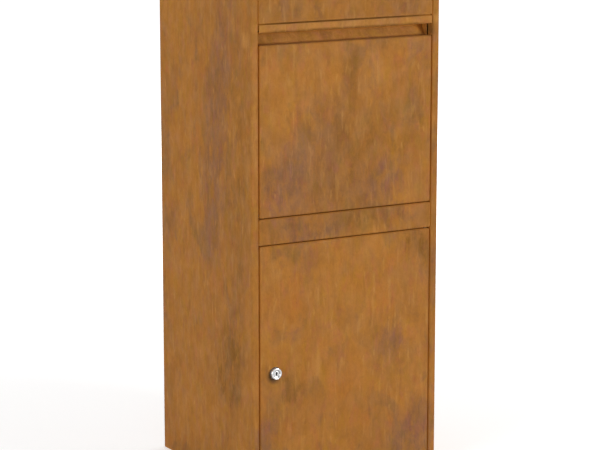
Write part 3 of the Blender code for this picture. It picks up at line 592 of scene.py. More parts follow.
@dataclass(frozen=True)
class WeatheringSteel:
    """Steel that has grown a dense, matt patina."""

    name: str
    # patches of one tone: rain and drip stains, and painted light and shade
    stains: tuple[TonePatch, ...] = ()
    # patches of painted shade, laid over the edges and crevices
    grime: tuple[TonePatch, ...] = ()
    base: Colour = Tone.OCHRE.value
    warm: Colour = Tone.ORANGE.value
    bright: Colour = Tone.GOLD.value
    dull: Colour = Tone.DULL.value
    warm_share: float = 0.75
    bright_share: float = 0.85
    dull_share: float = 0.75
    dust: float = 0.16
    rims: Point = (0.075, 0.075, 0.120)  # how far a patch's rim strays
    thin: float = 0.35  # a patch's share where broken patches thin it
    fleck_share: float = 0.20
    speck_share: float = 0.30
    edge_reach: float = 0.0018
    edge_breakup: float = 0.6
    edge_share: float = 0.35
    # painted light that brightens gaps and inner corners
    damp_reach: float = 0.008
    damp_share: float = 0.60
    roughness: tuple[float, float] = (0.62, 0.88)
    specular: float = 0.22
    pit_scale: float = 240.0
    pit_depth: float = 0.00022
    pinholes: float = 0.35

    def patina(self, graph: Graph) -> NodeSocket:
        """The colour of the patina with its tone patches, among them painted light and shade, before edges,
        crevices, painted shade and dust.

        Args:
            graph: The material's graph.

        Returns:
            The stained colour.
        """
        colour = graph.tint(WARM.mask(graph), self.warm_share, self.base, self.warm)
        colour = graph.tint(BRIGHT.mask(graph), self.bright_share, colour, self.bright)
        colour = graph.tint(DULL.mask(graph), self.dull_share, colour, self.dull)
        point = stretched(graph, 2.2, (0.3, 4.0, 1.0))
        noise = graph.noise(point, 34.0, "Color", detail=5.0, roughness=0.7)
        ragged = graph.vector("MULTIPLY", graph.vector("SUBTRACT", noise, MIDDLE_GREY), self.rims)
        cover = graph.between(BROKEN.mask(graph), self.thin, 1.0)
        for patch in self.stains:
            rim = ragged if patch.raggedness == 1.0 else graph.scaled(ragged, patch.raggedness)
            mask = graph.maths("MULTIPLY", patch.mask(graph, rim), cover)
            colour = graph.tint(mask, patch.strength, colour, patch.tone.value)
        return colour

    def marks(self, graph: Graph, colour: NodeSocket) -> NodeSocket:
        """The colour with upright streaks, flecks and fine mottle.

        Args:
            graph: The material's graph.
            colour: The patina under the marks.

        Returns:
            The marked colour.
        """
        for mark in MARKS:
            colour = graph.tint(mark.patches.mask(graph), mark.share, colour, mark.colour, mark.blend)
        flecks = FLECKS.use(graph, scale=85.0, stretch=3.2, shift=ORIGIN, size=0.26, share=0.16)
        specks = FLECKS.use(graph, scale=130.0, stretch=1.2, shift=(5.0, 5.0, 5.0), size=0.20, share=0.12)
        colour = graph.tint(flecks, self.fleck_share, colour, Tone.PALE.value)
        return graph.tint(specks, self.speck_share, colour, Tone.DEEP.value)

    def make(self) -> Material:
        """The material.

        Returns:
            The finished material.
        """
        material, graph, shader = blank_material(self.name)
        colour = self.marks(graph, self.patina(graph))
        # lighter convex edges: wear, and a painted highlight that picks out the folds
        edges = EDGES.use(graph, reach=self.edge_reach, breakup=self.edge_breakup)
        colour = graph.tint(edges, self.edge_share, colour, Tone.PALE.value)
        # painted light: a brighter orange in gaps and inner corners lifts their shade
        crevice_fill = CREVICES.use(graph, reach=self.damp_reach)
        colour = graph.tint(crevice_fill, self.damp_share, colour, Tone.FRESH.value)
        # painted shade: the lock's shadow and the dark line in the gap above the strip
        for patch in self.grime:
            colour = graph.tint(patch.mask(graph, ORIGIN), patch.strength, colour, patch.tone.value)
        graph.wire(shader, {
            "Base Color": graph.mix(DUST.use(graph, amount=self.dust), colour, Tone.DUST.value),
            "Roughness": graph.between(SHEEN.mask(graph), *self.roughness),
            "Specular IOR Level": self.specular,
            "Normal": pitted(graph, self.pit_scale, self.pinholes, self.pit_depth),
        })
        return material


@dataclass(frozen=True)
class WeldMetal:
    """The beads: darker and smoother than the sheets, with rust between the ripples."""

    name: str = "rusted_weld"
    crest: Colour = (0.200, 0.115, 0.070)
    rust: Colour = (0.260, 0.100, 0.030)
    roughness: tuple[float, float] = (0.45, 0.85)
    metallic: tuple[float, float] = (0.55, 0.0)
    pit_depth: float = 0.00008

    def make(self) -> Material:
        """The material.

        Returns:
            The finished material.
        """
        material, graph, shader = blank_material(self.name)
        rust = WELD_RUST.mask(graph)
        graph.wire(shader, {
            "Base Color": graph.mix(rust, self.crest, self.rust),
            "Roughness": graph.between(rust, *self.roughness),
            "Metallic": graph.between(rust, *self.metallic),
            "Normal": pitted(graph, 700.0, 0.2, self.pit_depth),
        })
        return material


@dataclass(frozen=True)
class PlatedMetal:
    """Chrome or zinc plating with fine scratches and haze, and rust dust with painted shade in its corners.
    """

    name: str
    colour: Colour
    haze: Colour
    roughness: tuple[float, float]
    # strength of the rust dust and painted shade in corners
    grime: float
    dirt: Colour = (0.170, 0.080, 0.035)
    dirt_reach: float = 0.0022
    haze_share: float = 0.35
    scratch_depth: float = 0.00002
    scratch_strength: float = 0.25

    def make(self) -> Material:
        """The material.

        Returns:
            The finished material.
        """
        material, graph, shader = blank_material(self.name)
        haze, scratches = HAZE.mask(graph), SCRATCHES.mask(graph)
        # rust dust and painted shade where the surface is closed in: darker, rougher and less metallic
        dirt = graph.maths("MULTIPLY", CREVICES.use(graph, reach=self.dirt_reach), self.grime)
        blur = graph.between(graph.maths("MAXIMUM", haze, scratches), *self.roughness)
        hazy = graph.tint(haze, self.haze_share, self.colour, self.haze)
        graph.wire(shader, {
            "Base Color": graph.mix(dirt, hazy, self.dirt),
            "Roughness": graph.between(dirt, blur, 0.85),
            "Metallic": graph.between(dirt, 1.0, 0.1),
            "Normal": graph.bump(scratches, self.scratch_depth, self.scratch_strength),
        })
        return material


@dataclass(frozen=True)
class Rubber:
    """Black rubber that has greyed a little."""

    name: str = "aged_rubber"
    colour: Colour = (0.022, 0.021, 0.020)
    bloom: Colour = (0.075, 0.068, 0.060)
    roughness: tuple[float, float] = (0.50, 0.80)
    pit_depth: float = 0.00005
    pit_strength: float = 0.6

    def make(self) -> Material:
        """The material.

        Returns:
            The finished material.
        """
        material, graph, shader = blank_material(self.name)
        bloom = BLOOM.mask(graph)
        graph.wire(shader, {
            "Base Color": graph.mix(bloom, self.colour, self.bloom),
            "Roughness": graph.between(bloom, *self.roughness),
            "Normal": pitted(graph, 1400.0, 0.1, self.pit_depth, self.pit_strength),
        })
        return material


class FinishRack:
    """The finishes of the mailbox, each made once."""

    def __init__(self) -> None:
        """Makes every finish."""
        stains = FRONT_PATCHES + SIDE_STAINS + GRIP_LIGHT_AND_SHADE
        self.outer = WeatheringSteel("outer_patina", stains, LOCK_AND_GAP_SHADE).make()
        self.inner = WeatheringSteel(
            "inner_patina", base=(0.300, 0.118, 0.036), warm=(0.330, 0.115, 0.034),
            bright=(0.380, 0.165, 0.050), dull=(0.200, 0.085, 0.042), dull_share=0.85, dust=0.45,
        ).make()
        self.weld = WeldMetal().make()
        self.rubber = Rubber().make()
        self.chrome, self.zinc, self.pins, self.bore = (PlatedMetal(*looks).make() for looks in (
            ("lock_chrome", (0.60, 0.605, 0.615), (0.50, 0.49, 0.47), (0.06, 0.22), 0.85),
            ("dull_zinc", (0.46, 0.47, 0.48), (0.33, 0.31, 0.27), (0.30, 0.55), 0.80),
            ("browned_zinc", (0.200, 0.120, 0.065), (0.130, 0.068, 0.032), (0.50, 0.75), 1.00),
            # the keyway's walls: grime, and painted shade that keeps the hole dark
            ("keyway_grime", (0.060, 0.052, 0.045), (0.040, 0.030, 0.022), (0.50, 0.75), 0.90),
        ))

    def of(self, slot: Slot) -> Material:
        """The finish of a slot, kept under the slot's own name."""
        return getattr(self, slot.name.lower())


def hand_over(piece: Object, body: Body, slot: Slot, *nodes: str) -> Object:
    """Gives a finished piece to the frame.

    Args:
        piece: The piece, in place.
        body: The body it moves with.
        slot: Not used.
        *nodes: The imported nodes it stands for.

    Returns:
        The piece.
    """
    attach(piece, body.value)
    if nodes:
        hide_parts(*nodes)
    LOG.info("%s rides on %s, %d faces", piece.name, body.value, len(piece.data.polygons))
    return piece


def show(name: str, data: ID, material: Material | None = None) -> Object:
    """A new object at the origin that shows a mesh, a light or a camera.

    Args:
        name: The object's name.
        data: What it shows.
        material: A mesh's finish, if it gets one.

    Returns:
        The object.
    """
    piece = bpy.data.objects.new(name, data)
    bpy.context.scene.collection.objects.link(piece)
    if material is not None:
        data.materials.clear()
        data.materials.append(material)
    return piece


def modify(piece: Object, kind: str, **settings: object) -> None:
    """Puts a modifier with its settings on a piece.

    Args:
        piece: The piece.
        kind: The modifier's type.
        **settings: The modifier's properties.
    """
    modifier = piece.modifiers.new(kind.lower(), kind)
    for name, value in settings.items():
        setattr(modifier, name, value)


def flattened(piece: Object, tool: Object | None = None) -> Object:
    """Applies an object's modifiers to a new mesh and removes them, and the tool that shaped it.

    Args:
        piece: The object with its modifiers.
        tool: The object that cut or limited it.

    Returns:
        The same object with its new mesh.
    """
    bpy.context.view_layer.update()
    shown = piece.evaluated_get(bpy.context.evaluated_depsgraph_get())
    mesh = bpy.data.meshes.new_from_object(shown)
    old = piece.data
    piece.modifiers.clear()
    piece.data = mesh
    mesh.name = piece.name
    if isinstance(old, Mesh) and old.users == 0:
        bpy.data.meshes.remove(old)
    if tool is not None:
        bpy.data.objects.remove(tool)
    return piece


def to_mesh(name: str, fill: Callable[[BMesh], None]) -> Mesh:
    """A mesh that a function fills.

    Args:
        name: The mesh's name.
        fill: What puts the faces into it.

    Returns:
        The mesh.
    """
    work = bmesh.new()
    fill(work)
    mesh = bpy.data.meshes.new(name)
    work.to_mesh(mesh)
    work.free()
    return mesh


@dataclass
class SheetMetal:
    """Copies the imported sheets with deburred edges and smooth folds."""

    rack: FinishRack
    burr: float = 0.00035
    burr_steps: int = 2
    sharp: float = math.radians(48.0)
    flat: float = math.radians(0.6)  # facets that meet at less are one face
    narrow: float = 0.0019  # faces narrower than this are folds and rounded edges

    def copy(self, node: str, body: Body, slot: Slot, name: str | None = None) -> Object:
        """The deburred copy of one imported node, which stands for it.

        Args:
            node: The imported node.
            body: The body it belongs to.
            slot: Its finish.
            name: The piece's name, if it isn't the node's with _sheet.

        Returns:
            The piece.
        """

        def fill(work: BMesh) -> None:
            """Merges the node's loose triangles into faces.

            Args:
                work: The mesh to fill.
            """
            work.from_mesh(bpy.data.objects[node].data)
            bmesh.ops.remove_doubles(work, verts=work.verts, dist=0.000002)
            bmesh.ops.dissolve_limit(work, angle_limit=self.flat, verts=work.verts, edges=work.edges)

        piece = show(name or f"{node}_sheet", to_mesh(node, fill), self.rack.of(slot))
        modify(piece, "BEVEL", width=self.burr, segments=self.burr_steps, limit_method="ANGLE",
               angle_limit=self.sharp, use_clamp_overlap=True)
        self.shade(flattened(piece).data)
        return hand_over(piece, body, slot, node)

    def shade(self, mesh: Mesh) -> None:
        """Shades folds and rounded edges smooth and leaves the flats flat.

        Args:
            mesh: The sheet's mesh.
        """
        for face in mesh.polygons:
            corners = [mesh.vertices[index].co for index in face.vertices]
            longest = max((a - b).length for a, b in zip(corners, corners[1:] + corners[:1]))
            face.use_smooth = face.area < self.narrow * longest


class GeometryTree:
    """A Geometry Nodes tree with named inputs, which sets copies on the points of a guide."""

    def __init__(self, name: str, inputs: Mapping[str, str]) -> None:
        """Makes the tree's sockets.

        Args:
            name: The tree's name.
            inputs: The type of each input after the geometry, by its name.
        """
        self.tree = bpy.data.node_groups.new(name, "GeometryNodeTree")
        give_sockets(self.tree, "INPUT", {"Geometry": "Geometry", **inputs, "Finish": "Material"})
        give_sockets(self.tree, "OUTPUT", {"Geometry": "Geometry"})
        self.graph = Graph(self.tree)
        self.given = self.graph.add("NodeGroupInput").outputs

    def stored(self, name: str, kind: str) -> NodeSocket:
        """A value that the guide's points carry."""
        return self.graph.add("GeometryNodeInputNamedAttribute", {"Name": name}, data_type=kind).outputs[0]

    def turned(self, axis: str, way: NodeSocket) -> NodeSocket:
        """The rotation that turns an axis to a direction."""
        return self.graph.add("FunctionNodeAlignRotationToVector", {"Vector": way}, axis=axis).outputs[0]

    def random(self, low: Feed, high: Feed) -> NodeSocket:
        """A random number for each copy, from the tree's seed."""
        feeds = {2: low, 3: high, "Seed": self.given["Seed"]}
        return self.graph.add("FunctionNodeRandomValue", feeds, data_type="FLOAT").outputs[1]

    def close(self, feeds: Mapping[str, Feed]) -> None:
        """Ends the tree: the copies on the points as real geometry, smooth, with their finish.

        Args:
            feeds: The inputs of the node that sets the copies.
        """
        shape = self.graph.add("GeometryNodeInstanceOnPoints", feeds).outputs[0]
        for kind in ("GeometryNodeRealizeInstances", "GeometryNodeSetShadeSmooth"):
            shape = self.graph.add(kind, {0: shape}).outputs[0]
        feeds = {"Geometry": shape, "Material": self.given["Finish"]}
        self.graph.add("NodeGroupOutput", {0: self.graph.add("GeometryNodeSetMaterial", feeds).outputs[0]})

    def run(self, name: str, guide: Mesh, values: Mapping[str, Feed]) -> Object:
        """Applies the tree to a guide and returns the plain mesh's object.

        Args:
            name: The piece's name.
            guide: The mesh whose points or edges lead the pattern.
            values: The inputs by name.

        Returns:
            The piece, with no modifier left.
        """
        piece = show(name, guide)
        modifier = piece.modifiers.new("pattern", "NODES")
        modifier.node_group = self.tree
        for item in self.tree.interface.items_tree:
            if item.in_out == "INPUT" and item.name in values:
                modifier[item.identifier] = values[item.name]
        mesh = flattened(piece).data
        mesh.materials.clear()
        mesh.materials.append(values["Finish"])
        mesh.polygons.foreach_set("material_index", [0] * len(mesh.polygons))
        return piece


def facing_points(name: str, points: Sequence[Vector], facings: Sequence[Vector]) -> Mesh:
    """Loose points that carry the direction each copy faces.

    Args:
        name: The mesh's name.
        points: Where the copies go.
        facings: The way each one faces.

    Returns:
        The guide.
    """
    mesh = bpy.data.meshes.new(name)
    mesh.from_pydata([tuple(point) for point in points], [], [])
    directions = mesh.attributes.new("facing", "FLOAT_VECTOR", "POINT")
    directions.data.foreach_set("vector", [number for facing in facings for number in facing])
    return mesh


def paths(name: str, runs: Sequence[Run]) -> Mesh:
    """Separate straight edges.

    Args:
        name: The mesh's name.
        runs: Start and end of each edge.

    Returns:
        The guide.
    """
    mesh = bpy.data.meshes.new(name)
    points = [tuple(point) for run in runs for point in run]
    mesh.from_pydata(points, [(2 * index, 2 * index + 1) for index in range(len(runs))], [])
    return mesh


class WeldBeads(GeometryTree):
    """Stitches of weld: flat ripples that overlap along each edge of a guide."""

    overlap = 2.6  # a ripple's length, in spacings

    def __init__(self) -> None:
        """Builds the tree."""
        numbers = ("Ripple Spacing", "Bead Width", "Bead Height", "Unevenness")
        super().__init__("weld_bead", dict.fromkeys(numbers, "Float") | {"Seed": "Int"})
        graph, given = self.graph, self.given
        curve = graph.add("GeometryNodeMeshToCurve", {0: given["Geometry"]}).outputs[0]
        feeds = {"Curve": curve, "Length": given["Ripple Spacing"]}
        even = graph.add("GeometryNodeResampleCurve", feeds, mode="LENGTH").outputs[0]
        turn = self.turned("X", graph.add("GeometryNodeInputTangent").outputs[0])
        feeds = {"Segments": 9, "Rings": 5, "Radius": 0.5}
        ball = graph.add("GeometryNodeMeshUVSphere", feeds).outputs["Mesh"]
        low = graph.maths("SUBTRACT", 1.0, given["Unevenness"])
        wobble = self.random(low, graph.maths("ADD", 1.0, given["Unevenness"]))
        along = graph.maths("MULTIPLY", given["Ripple Spacing"], self.overlap)
        feeds = {0: along, 1: given["Bead Width"], 2: given["Bead Height"]}
        scale = graph.scaled(graph.add("ShaderNodeCombineXYZ", feeds).outputs[0], wobble)
        self.close({"Points": even, "Instance": ball, "Rotation": turn, "Scale": scale})


class SpotMarks(GeometryTree):
    """Round marks of spot welds: a shallow ring with a dimple, on each point of a guide."""

    def __init__(self) -> None:
        """Builds the tree."""
        super().__init__("spot_weld_mark", {"Mark Radius": "Float", "Mark Height": "Float", "Seed": "Int"})
        graph, given = self.graph, self.given
        radius, height = given["Mark Radius"], given["Mark Height"]
        ring, lip = (
            graph.add("GeometryNodeCurvePrimitiveCircle", {"Resolution": sides, "Radius": size}).outputs[0]
            for sides, size in ((20, radius), (6, height))
        )
        rim = graph.add("GeometryNodeCurveToMesh", {0: ring, 1: lip}).outputs[0]
        feeds = {"Vertices": 20, "Radius": radius, "Depth": height}
        disc = graph.add("GeometryNodeMeshCylinder", feeds).outputs[0]
        both = graph.add("GeometryNodeJoinGeometry", {0: rim})
        graph.wire(both, {0: disc})
        turn = self.turned("Z", self.stored("facing", "FLOAT_VECTOR"))
        feeds = {"Points": given["Geometry"], "Instance": both.outputs[0], "Rotation": turn}
        self.close({**feeds, "Scale": self.random(0.9, 1.1)})


class TurnedCopies(GeometryTree):
    """Copies of one turned shape, whose guide is a line of points that carry their radius."""

    def __init__(self) -> None:
        """Builds the tree."""
        super().__init__("turned_copies", {"Profile": "Object", "Sides": "Int"})
        graph, given = self.graph, self.given
        feeds = {"Object": given["Profile"]}
        profile = graph.add("GeometryNodeObjectInfo", feeds, transform_space="ORIGINAL").outputs["Geometry"]
        line = graph.add("GeometryNodeMeshToCurve", {0: profile}).outputs[0]
        feeds = {"Resolution": given["Sides"], "Radius": 1.0}
        ring = graph.add("GeometryNodeCurvePrimitiveCircle", feeds).outputs[0]
        radius = self.stored("turning_radius", "FLOAT")
        feeds = {"Curve": line, "Profile Curve": ring, "Scale": radius, "Fill Caps": True}
        shape = graph.add("GeometryNodeCurveToMesh", feeds).outputs[0]
        turn = self.turned("Z", self.stored("facing", "FLOAT_VECTOR"))
        self.close({"Points": given["Geometry"], "Instance": shape, "Rotation": turn})

    def copies(
        self, name: str, profile: Outline, points: Sequence[Vector], facings: Sequence[Vector],
        material: Material, sides: int = 32,
    ) -> Object:
        """Turned copies at points.

        Args:
            name: The piece's name.
            profile: Radius and height pairs along the shape's own axis, from its foot to its head.
            points: Where each copy's zero height lies.
            facings: The direction of each copy's axis.
            material: The finish.
            sides: How many sides a copy has.

        Returns:
            The piece.
        """
        line = bpy.data.meshes.new(f"{name}_profile")
        heights = [height + 0.0000005 * index for index, (_, height) in enumerate(profile)]
        steps = [(index, index + 1) for index in range(len(profile) - 1)]
        line.from_pydata([(0.0, 0.0, height) for height in heights], steps, [])
        radii = line.attributes.new("turning_radius", "FLOAT", "POINT")
        radii.data.foreach_set("value", [radius for radius, _ in profile])
        guide = show(line.name, line)
        values = {"Profile": guide, "Sides": sides, "Finish": material}
        piece = self.run(name, facing_points(name, points, facings), values)
        bpy.data.objects.remove(guide)
        bpy.data.meshes.remove(line)
        piece.data.set_sharp_from_angle(angle=math.radians(38.0))
        return piece


@dataclass
class Fittings:
    """The three patterns that more than one sub-assembly uses."""

    rack: FinishRack
    ripple: float = 0.0013
    unevenness: float = 0.14
    mark_radius: float = 0.0030
    mark_height: float = 0.00022
    seed: int = 11

    def __post_init__(self) -> None:
        """Builds the three trees."""
        self.beads, self.marks, self.copies = WeldBeads(), SpotMarks(), TurnedCopies()

    def weld(
        self, name: str, body: Body, runs: Sequence[Run], width: float = 0.0034, height: float = 0.0034
    ) -> Object:
        """Lays one body's beads.

        Args:
            name: The piece's name.
            body: The body that the beads belong to.
            runs: Start and end of each stitch.
            width: The bead's width.
            height: The bead's height.

        Returns:
            The piece.
        """
        values = {
            "Ripple Spacing": self.ripple, "Bead Width": width, "Bead Height": height,
            "Unevenness": self.unevenness, "Seed": self.seed, "Finish": self.rack.weld,
        }
        return hand_over(self.beads.run(name, paths(name, runs), values), body, Slot.OUTER)

    def spots(self, name: str, body: Body, points: Sequence[Vector], facing: Vector) -> Object:
        """Sets one body's spot-weld marks.

        Args:
            name: The piece's name.
            body: The body that the marks belong to.
            points: The middle of each mark.
            facing: The way the sheet faces.

        Returns:
            The piece.
        """
        values = {
            "Mark Radius": self.mark_radius, "Mark Height": self.mark_height, "Seed": self.seed,
            "Finish": self.rack.outer,
        }
        guide = facing_points(name, points, [facing] * len(points))
        return hand_over(self.marks.run(name, guide, values), body, Slot.OUTER)


def stitches(start: Vector, end: Vector, count: int, length: float) -> list[Run]:
    """Equal stitches spread along a seam, the first and the last at its ends.

    Args:
        start: Where the seam begins.
        end: Where it ends.
        count: How many stitches it has.
        length: The length of a stitch.

    Returns:
        Start and end of each stitch.
    """
    along = end - start
    unit = along.normalized()
    steps = [index / max(count - 1, 1) for index in range(count)]
    starts = [start + unit * (step * (along.length - length)) for step in steps]
    return [(place, place + unit * length) for place in starts]


@dataclass
class Casing:
    """The fixed sheets with their welds, pins and buffers."""

    metal: SheetMetal
    fittings: Fittings
    stitch: float = 0.024
    stitch_pitch: float = 0.05
    floor_bite: float = 0.0004  # how deep a bead sits in the sheet beside it
    floor_ends: tuple[float, float] = (0.03, 0.02)  # bare in front and behind
    rail_bite: float = 0.0003
    rail_end: float = 0.006
    rear_reach: float = 0.16
    bracket_bite: float = 0.0002
    bracket_reach: float = 0.012
    bracket_stitch: float = 0.018
    seam_inset: float = 0.00095
    seam_gap: float = 0.0014
    seam_size: tuple[float, float] = (0.0019, 0.0011)
    mark_pitch: float = 0.105
    mark_inset: float = 0.0095
    mark_start: float = 0.05
    mark_ends: float = 0.08  # bare at both ends together
    shank: float = 0.0025
    cap: float = 0.0025
    sheets: tuple[tuple[Slot, tuple[str, ...]], ...] = (
        (Slot.OUTER, ("left_side_panel", "right_side_panel", "back_panel", "top_panel", "base_panel")),
        (Slot.OUTER, ("front_sill", "cross_rail", "front_fascia", "flap_stop_angle")),
        (Slot.INNER, ("baffle", *BRACKETS)),
        (Slot.ZINC, ("door_stop_upper", "door_stop_lower")),
    )

    def build(self) -> None:
        """Builds every fixed piece."""
        for slot, nodes in self.sheets:
            for node in nodes:
                self.metal.copy(node, Body.CASING, slot)
        self.inner_welds()
        self.roof_seam()
        self.rear_marks()
        self.pins()
        self.buffers()

    def inner_welds(self) -> None:
        """Stitches that hold the floor, the cross pieces and the brackets, seen from inside."""
        low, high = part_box("base_panel")
        floor = high.z
        runs: list[Run] = []
        for side in Side:
            x = side.value * (high.x - self.floor_bite)
            front, back = low.y + self.floor_ends[0], high.y - self.floor_ends[1]
            runs += stitches(Vector((x, front, floor)), Vector((x, back, floor)), 4, self.stitch)
        for node, side in product(("front_sill", "cross_rail", "front_fascia"), Side):
            low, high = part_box(node)
            inset = min(self.rail_end, (high.z - low.z) / 5)
            x = side.value * (high.x - self.rail_bite)
            start, end = Vector((x, high.y, low.z + inset)), Vector((x, high.y, high.z - inset))
            span = end.z - start.z
            runs += stitches(start, end, max(1, round(span / self.stitch_pitch)), min(self.stitch, span))
        rear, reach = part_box("back_panel")[0].y, self.rear_reach
        runs += stitches(Vector((-reach, rear, floor)), Vector((reach, rear, floor)), 4, self.stitch)
        for node in BRACKETS:
            low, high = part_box(node)
            x = math.copysign(max(abs(low.x), abs(high.x)) - self.bracket_bite, low.x)
            y, reach, length = (low.y + high.y) / 2, self.bracket_reach, self.bracket_stitch
            start = Vector((x, y - reach, low.z + reach))
            runs += stitches(start, Vector((x, y + reach, low.z + reach + length)), 1, length)
        self.fittings.weld("casing_stitches", Body.CASING, runs)

    def roof_seam(self) -> None:
        """The dressed bead that closes the joint under the roof sheet."""
        low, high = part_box("top_panel")
        z = low.z - FIT / 2
        left, right = low.x + self.seam_inset, high.x - self.seam_inset
        front, back = low.y + self.seam_inset, high.y - self.seam_inset
        corners = [Vector((x, y, z)) for x, y in ((left, front), (right, front), (right, back), (left, back))]
        runs = []
        for start, end in zip(corners, corners[1:] + corners[:1]):
            gap = (end - start).normalized() * self.seam_gap
            runs.append((start + gap, end - gap))
        self.fittings.weld("roof_seam", Body.CASING, runs, *self.seam_size)

    def rear_marks(self) -> None:
        """Spot-weld marks down both rear flanges."""
        low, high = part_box("left_side_panel")
        count = int((high.z - low.z - self.mark_ends) / self.mark_pitch) + 1
        heights = [low.z + self.mark_start + self.mark_pitch * index for index in range(count)]
        x = abs(low.x) - self.mark_inset
        points = [Vector((side.value * x, high.y, z)) for side in Side for z in heights]
        self.fittings.spots("rear_flange_marks", Body.CASING, points, BACK)

    def pins(self) -> None:
        """The four headed pins of the flap and the door, from one turned profile."""
        ways = {"flap_pin_left": (0, -1.0), "flap_pin_right": (0, 1.0)}
        ways |= {"door_pin_top": (2, 1.0), "door_pin_bottom": (2, -1.0)}
        places, facings = [], []
        for node, (axis, sign) in ways.items():
            low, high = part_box(node)
            facing, place = Vector(ORIGIN), (low + high) / 2
            facing[axis] = sign
            place[axis] = high[axis] if sign > 0.0 else low[axis]
            places.append(place)
            facings.append(facing)
        low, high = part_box("door_pin_top")
        length, head, cap, shank = high.z - low.z, (high.x - low.x) / 2, self.cap, self.shank
        profile = [
            (0.0001, -length), (shank - 0.0006, -length), (shank, -length + 0.0006), (shank, -cap),
            (head, -cap), (head, -cap * 0.45), (head * 0.92, -cap * 0.22), (head * 0.70, -cap * 0.06),
            (head * 0.35, 0.0), (0.0001, 0.0),
        ]
        piece = self.fittings.copies.copies("hinge_pins", profile, places, facings, self.fittings.rack.pins)
        hand_over(piece, Body.CASING, Slot.ZINC, *ways)

    def buffers(self) -> None:
        """The four push-in rubber buffers."""
        nodes = ("flap_buffer_left", "flap_buffer_right", "door_buffer_upper", "door_buffer_lower")
        places = []
        for node in nodes:
            low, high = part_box(node)
            places.append(Vector(((low.x + high.x) / 2, low.y, (low.z + high.z) / 2)))
        low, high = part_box(nodes[0])
        length, head = high.y - low.y, (high.x - low.x) / 2
        cap, stem, bulb = 0.0029, 0.0018, 0.0030
        profile = [
            (0.0001, -length), (stem * 0.8, -length), (bulb, -cap - 0.0024), (stem, -cap - 0.0021),
            (stem, -cap), (head * 0.96, -cap), (head, -cap * 0.88), (head, -cap * 0.62),
            (head * 0.93, -cap * 0.56), (head, -cap * 0.50), (head * 0.94, -cap * 0.22),
            (head * 0.74, -cap * 0.04), (head * 0.30, 0.0), (0.0001, 0.0),
        ]
        rubber, facings = self.fittings.rack.rubber, [FRONT] * len(nodes)
        piece = self.fittings.copies.copies("rubber_buffers", profile, places, facings, rubber, 24)
        hand_over(piece, Body.CASING, Slot.RUBBER, *nodes)


@dataclass
class ParcelFlap:
    """The tilting flap with its hopper."""

    metal: SheetMetal
    fittings: Fittings
    stitch: float = 0.020
    cheek_bite: float = 0.0002  # how deep a bead sits in the sheet beside it
    cheek_depth: float = 0.016
    cheek_ends: tuple[float, float] = (0.03, 0.06)  # bare at the foot and at the top
    tray_bite: float = 0.0004
    bend: tuple[float, float] = (0.0215, 0.0022)  # from the panel's face and from the tray's top
    tail: tuple[float, float] = (0.004, 0.016)  # from the tray's rear and from its foot

    def build(self) -> None:
        """Builds the flap's pieces."""
        for node in ("flap_panel", "left_cheek", "right_cheek"):
            self.metal.copy(node, Body.FLAP, Slot.OUTER)
        self.metal.copy("hopper_tray", Body.FLAP, Slot.INNER)
        self.welds()

    def welds(self) -> None:
        """Stitches along the cheeks' front edges and along the tray's sides."""
        panel_low, panel_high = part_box("flap_panel")
        tray_low, tray_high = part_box("hopper_tray")
        runs: list[Run] = []
        for side in Side:
            x = side.value * (panel_high.x - SHEET + self.cheek_bite)
            y = panel_low.y + self.cheek_depth
            foot = Vector((x, y, panel_low.z + self.cheek_ends[0]))
            runs += stitches(foot, Vector((x, y, panel_high.z - self.cheek_ends[1])), 5, self.stitch)
            x = side.value * (tray_high.x + self.tray_bite)
            bend = Vector((x, panel_low.y + self.bend[0], tray_high.z - self.bend[1]))
            tail = Vector((x, tray_high.y - self.tail[0], tray_low.z + self.tail[1]))
            runs += stitches(bend, tail, 4, self.stitch)
        self.fittings.weld("hopper_stitches", Body.FLAP, runs)


@dataclass
class Door:
    """The door's sheet with its welded corners."""

    metal: SheetMetal
    fittings: Fittings
    bead: float = 0.0022
    inset: float = SHEET + 0.0005

    def build(self) -> None:
        """Builds the door's pieces."""
        self.metal.copy("door_panel", Body.DOOR, Slot.OUTER)
        low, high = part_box("door_panel")
        across = (low.x + self.inset, high.x - self.inset)
        upright = (low.z + self.inset, high.z - self.inset)
        front, back = low.y + 0.004, high.y - 0.0012
        runs = [(Vector((x, front, z)), Vector((x, back, z))) for x, z in product(across, upright)]
        self.fittings.weld("door_corner_welds", Body.DOOR, runs, self.bead, self.bead)


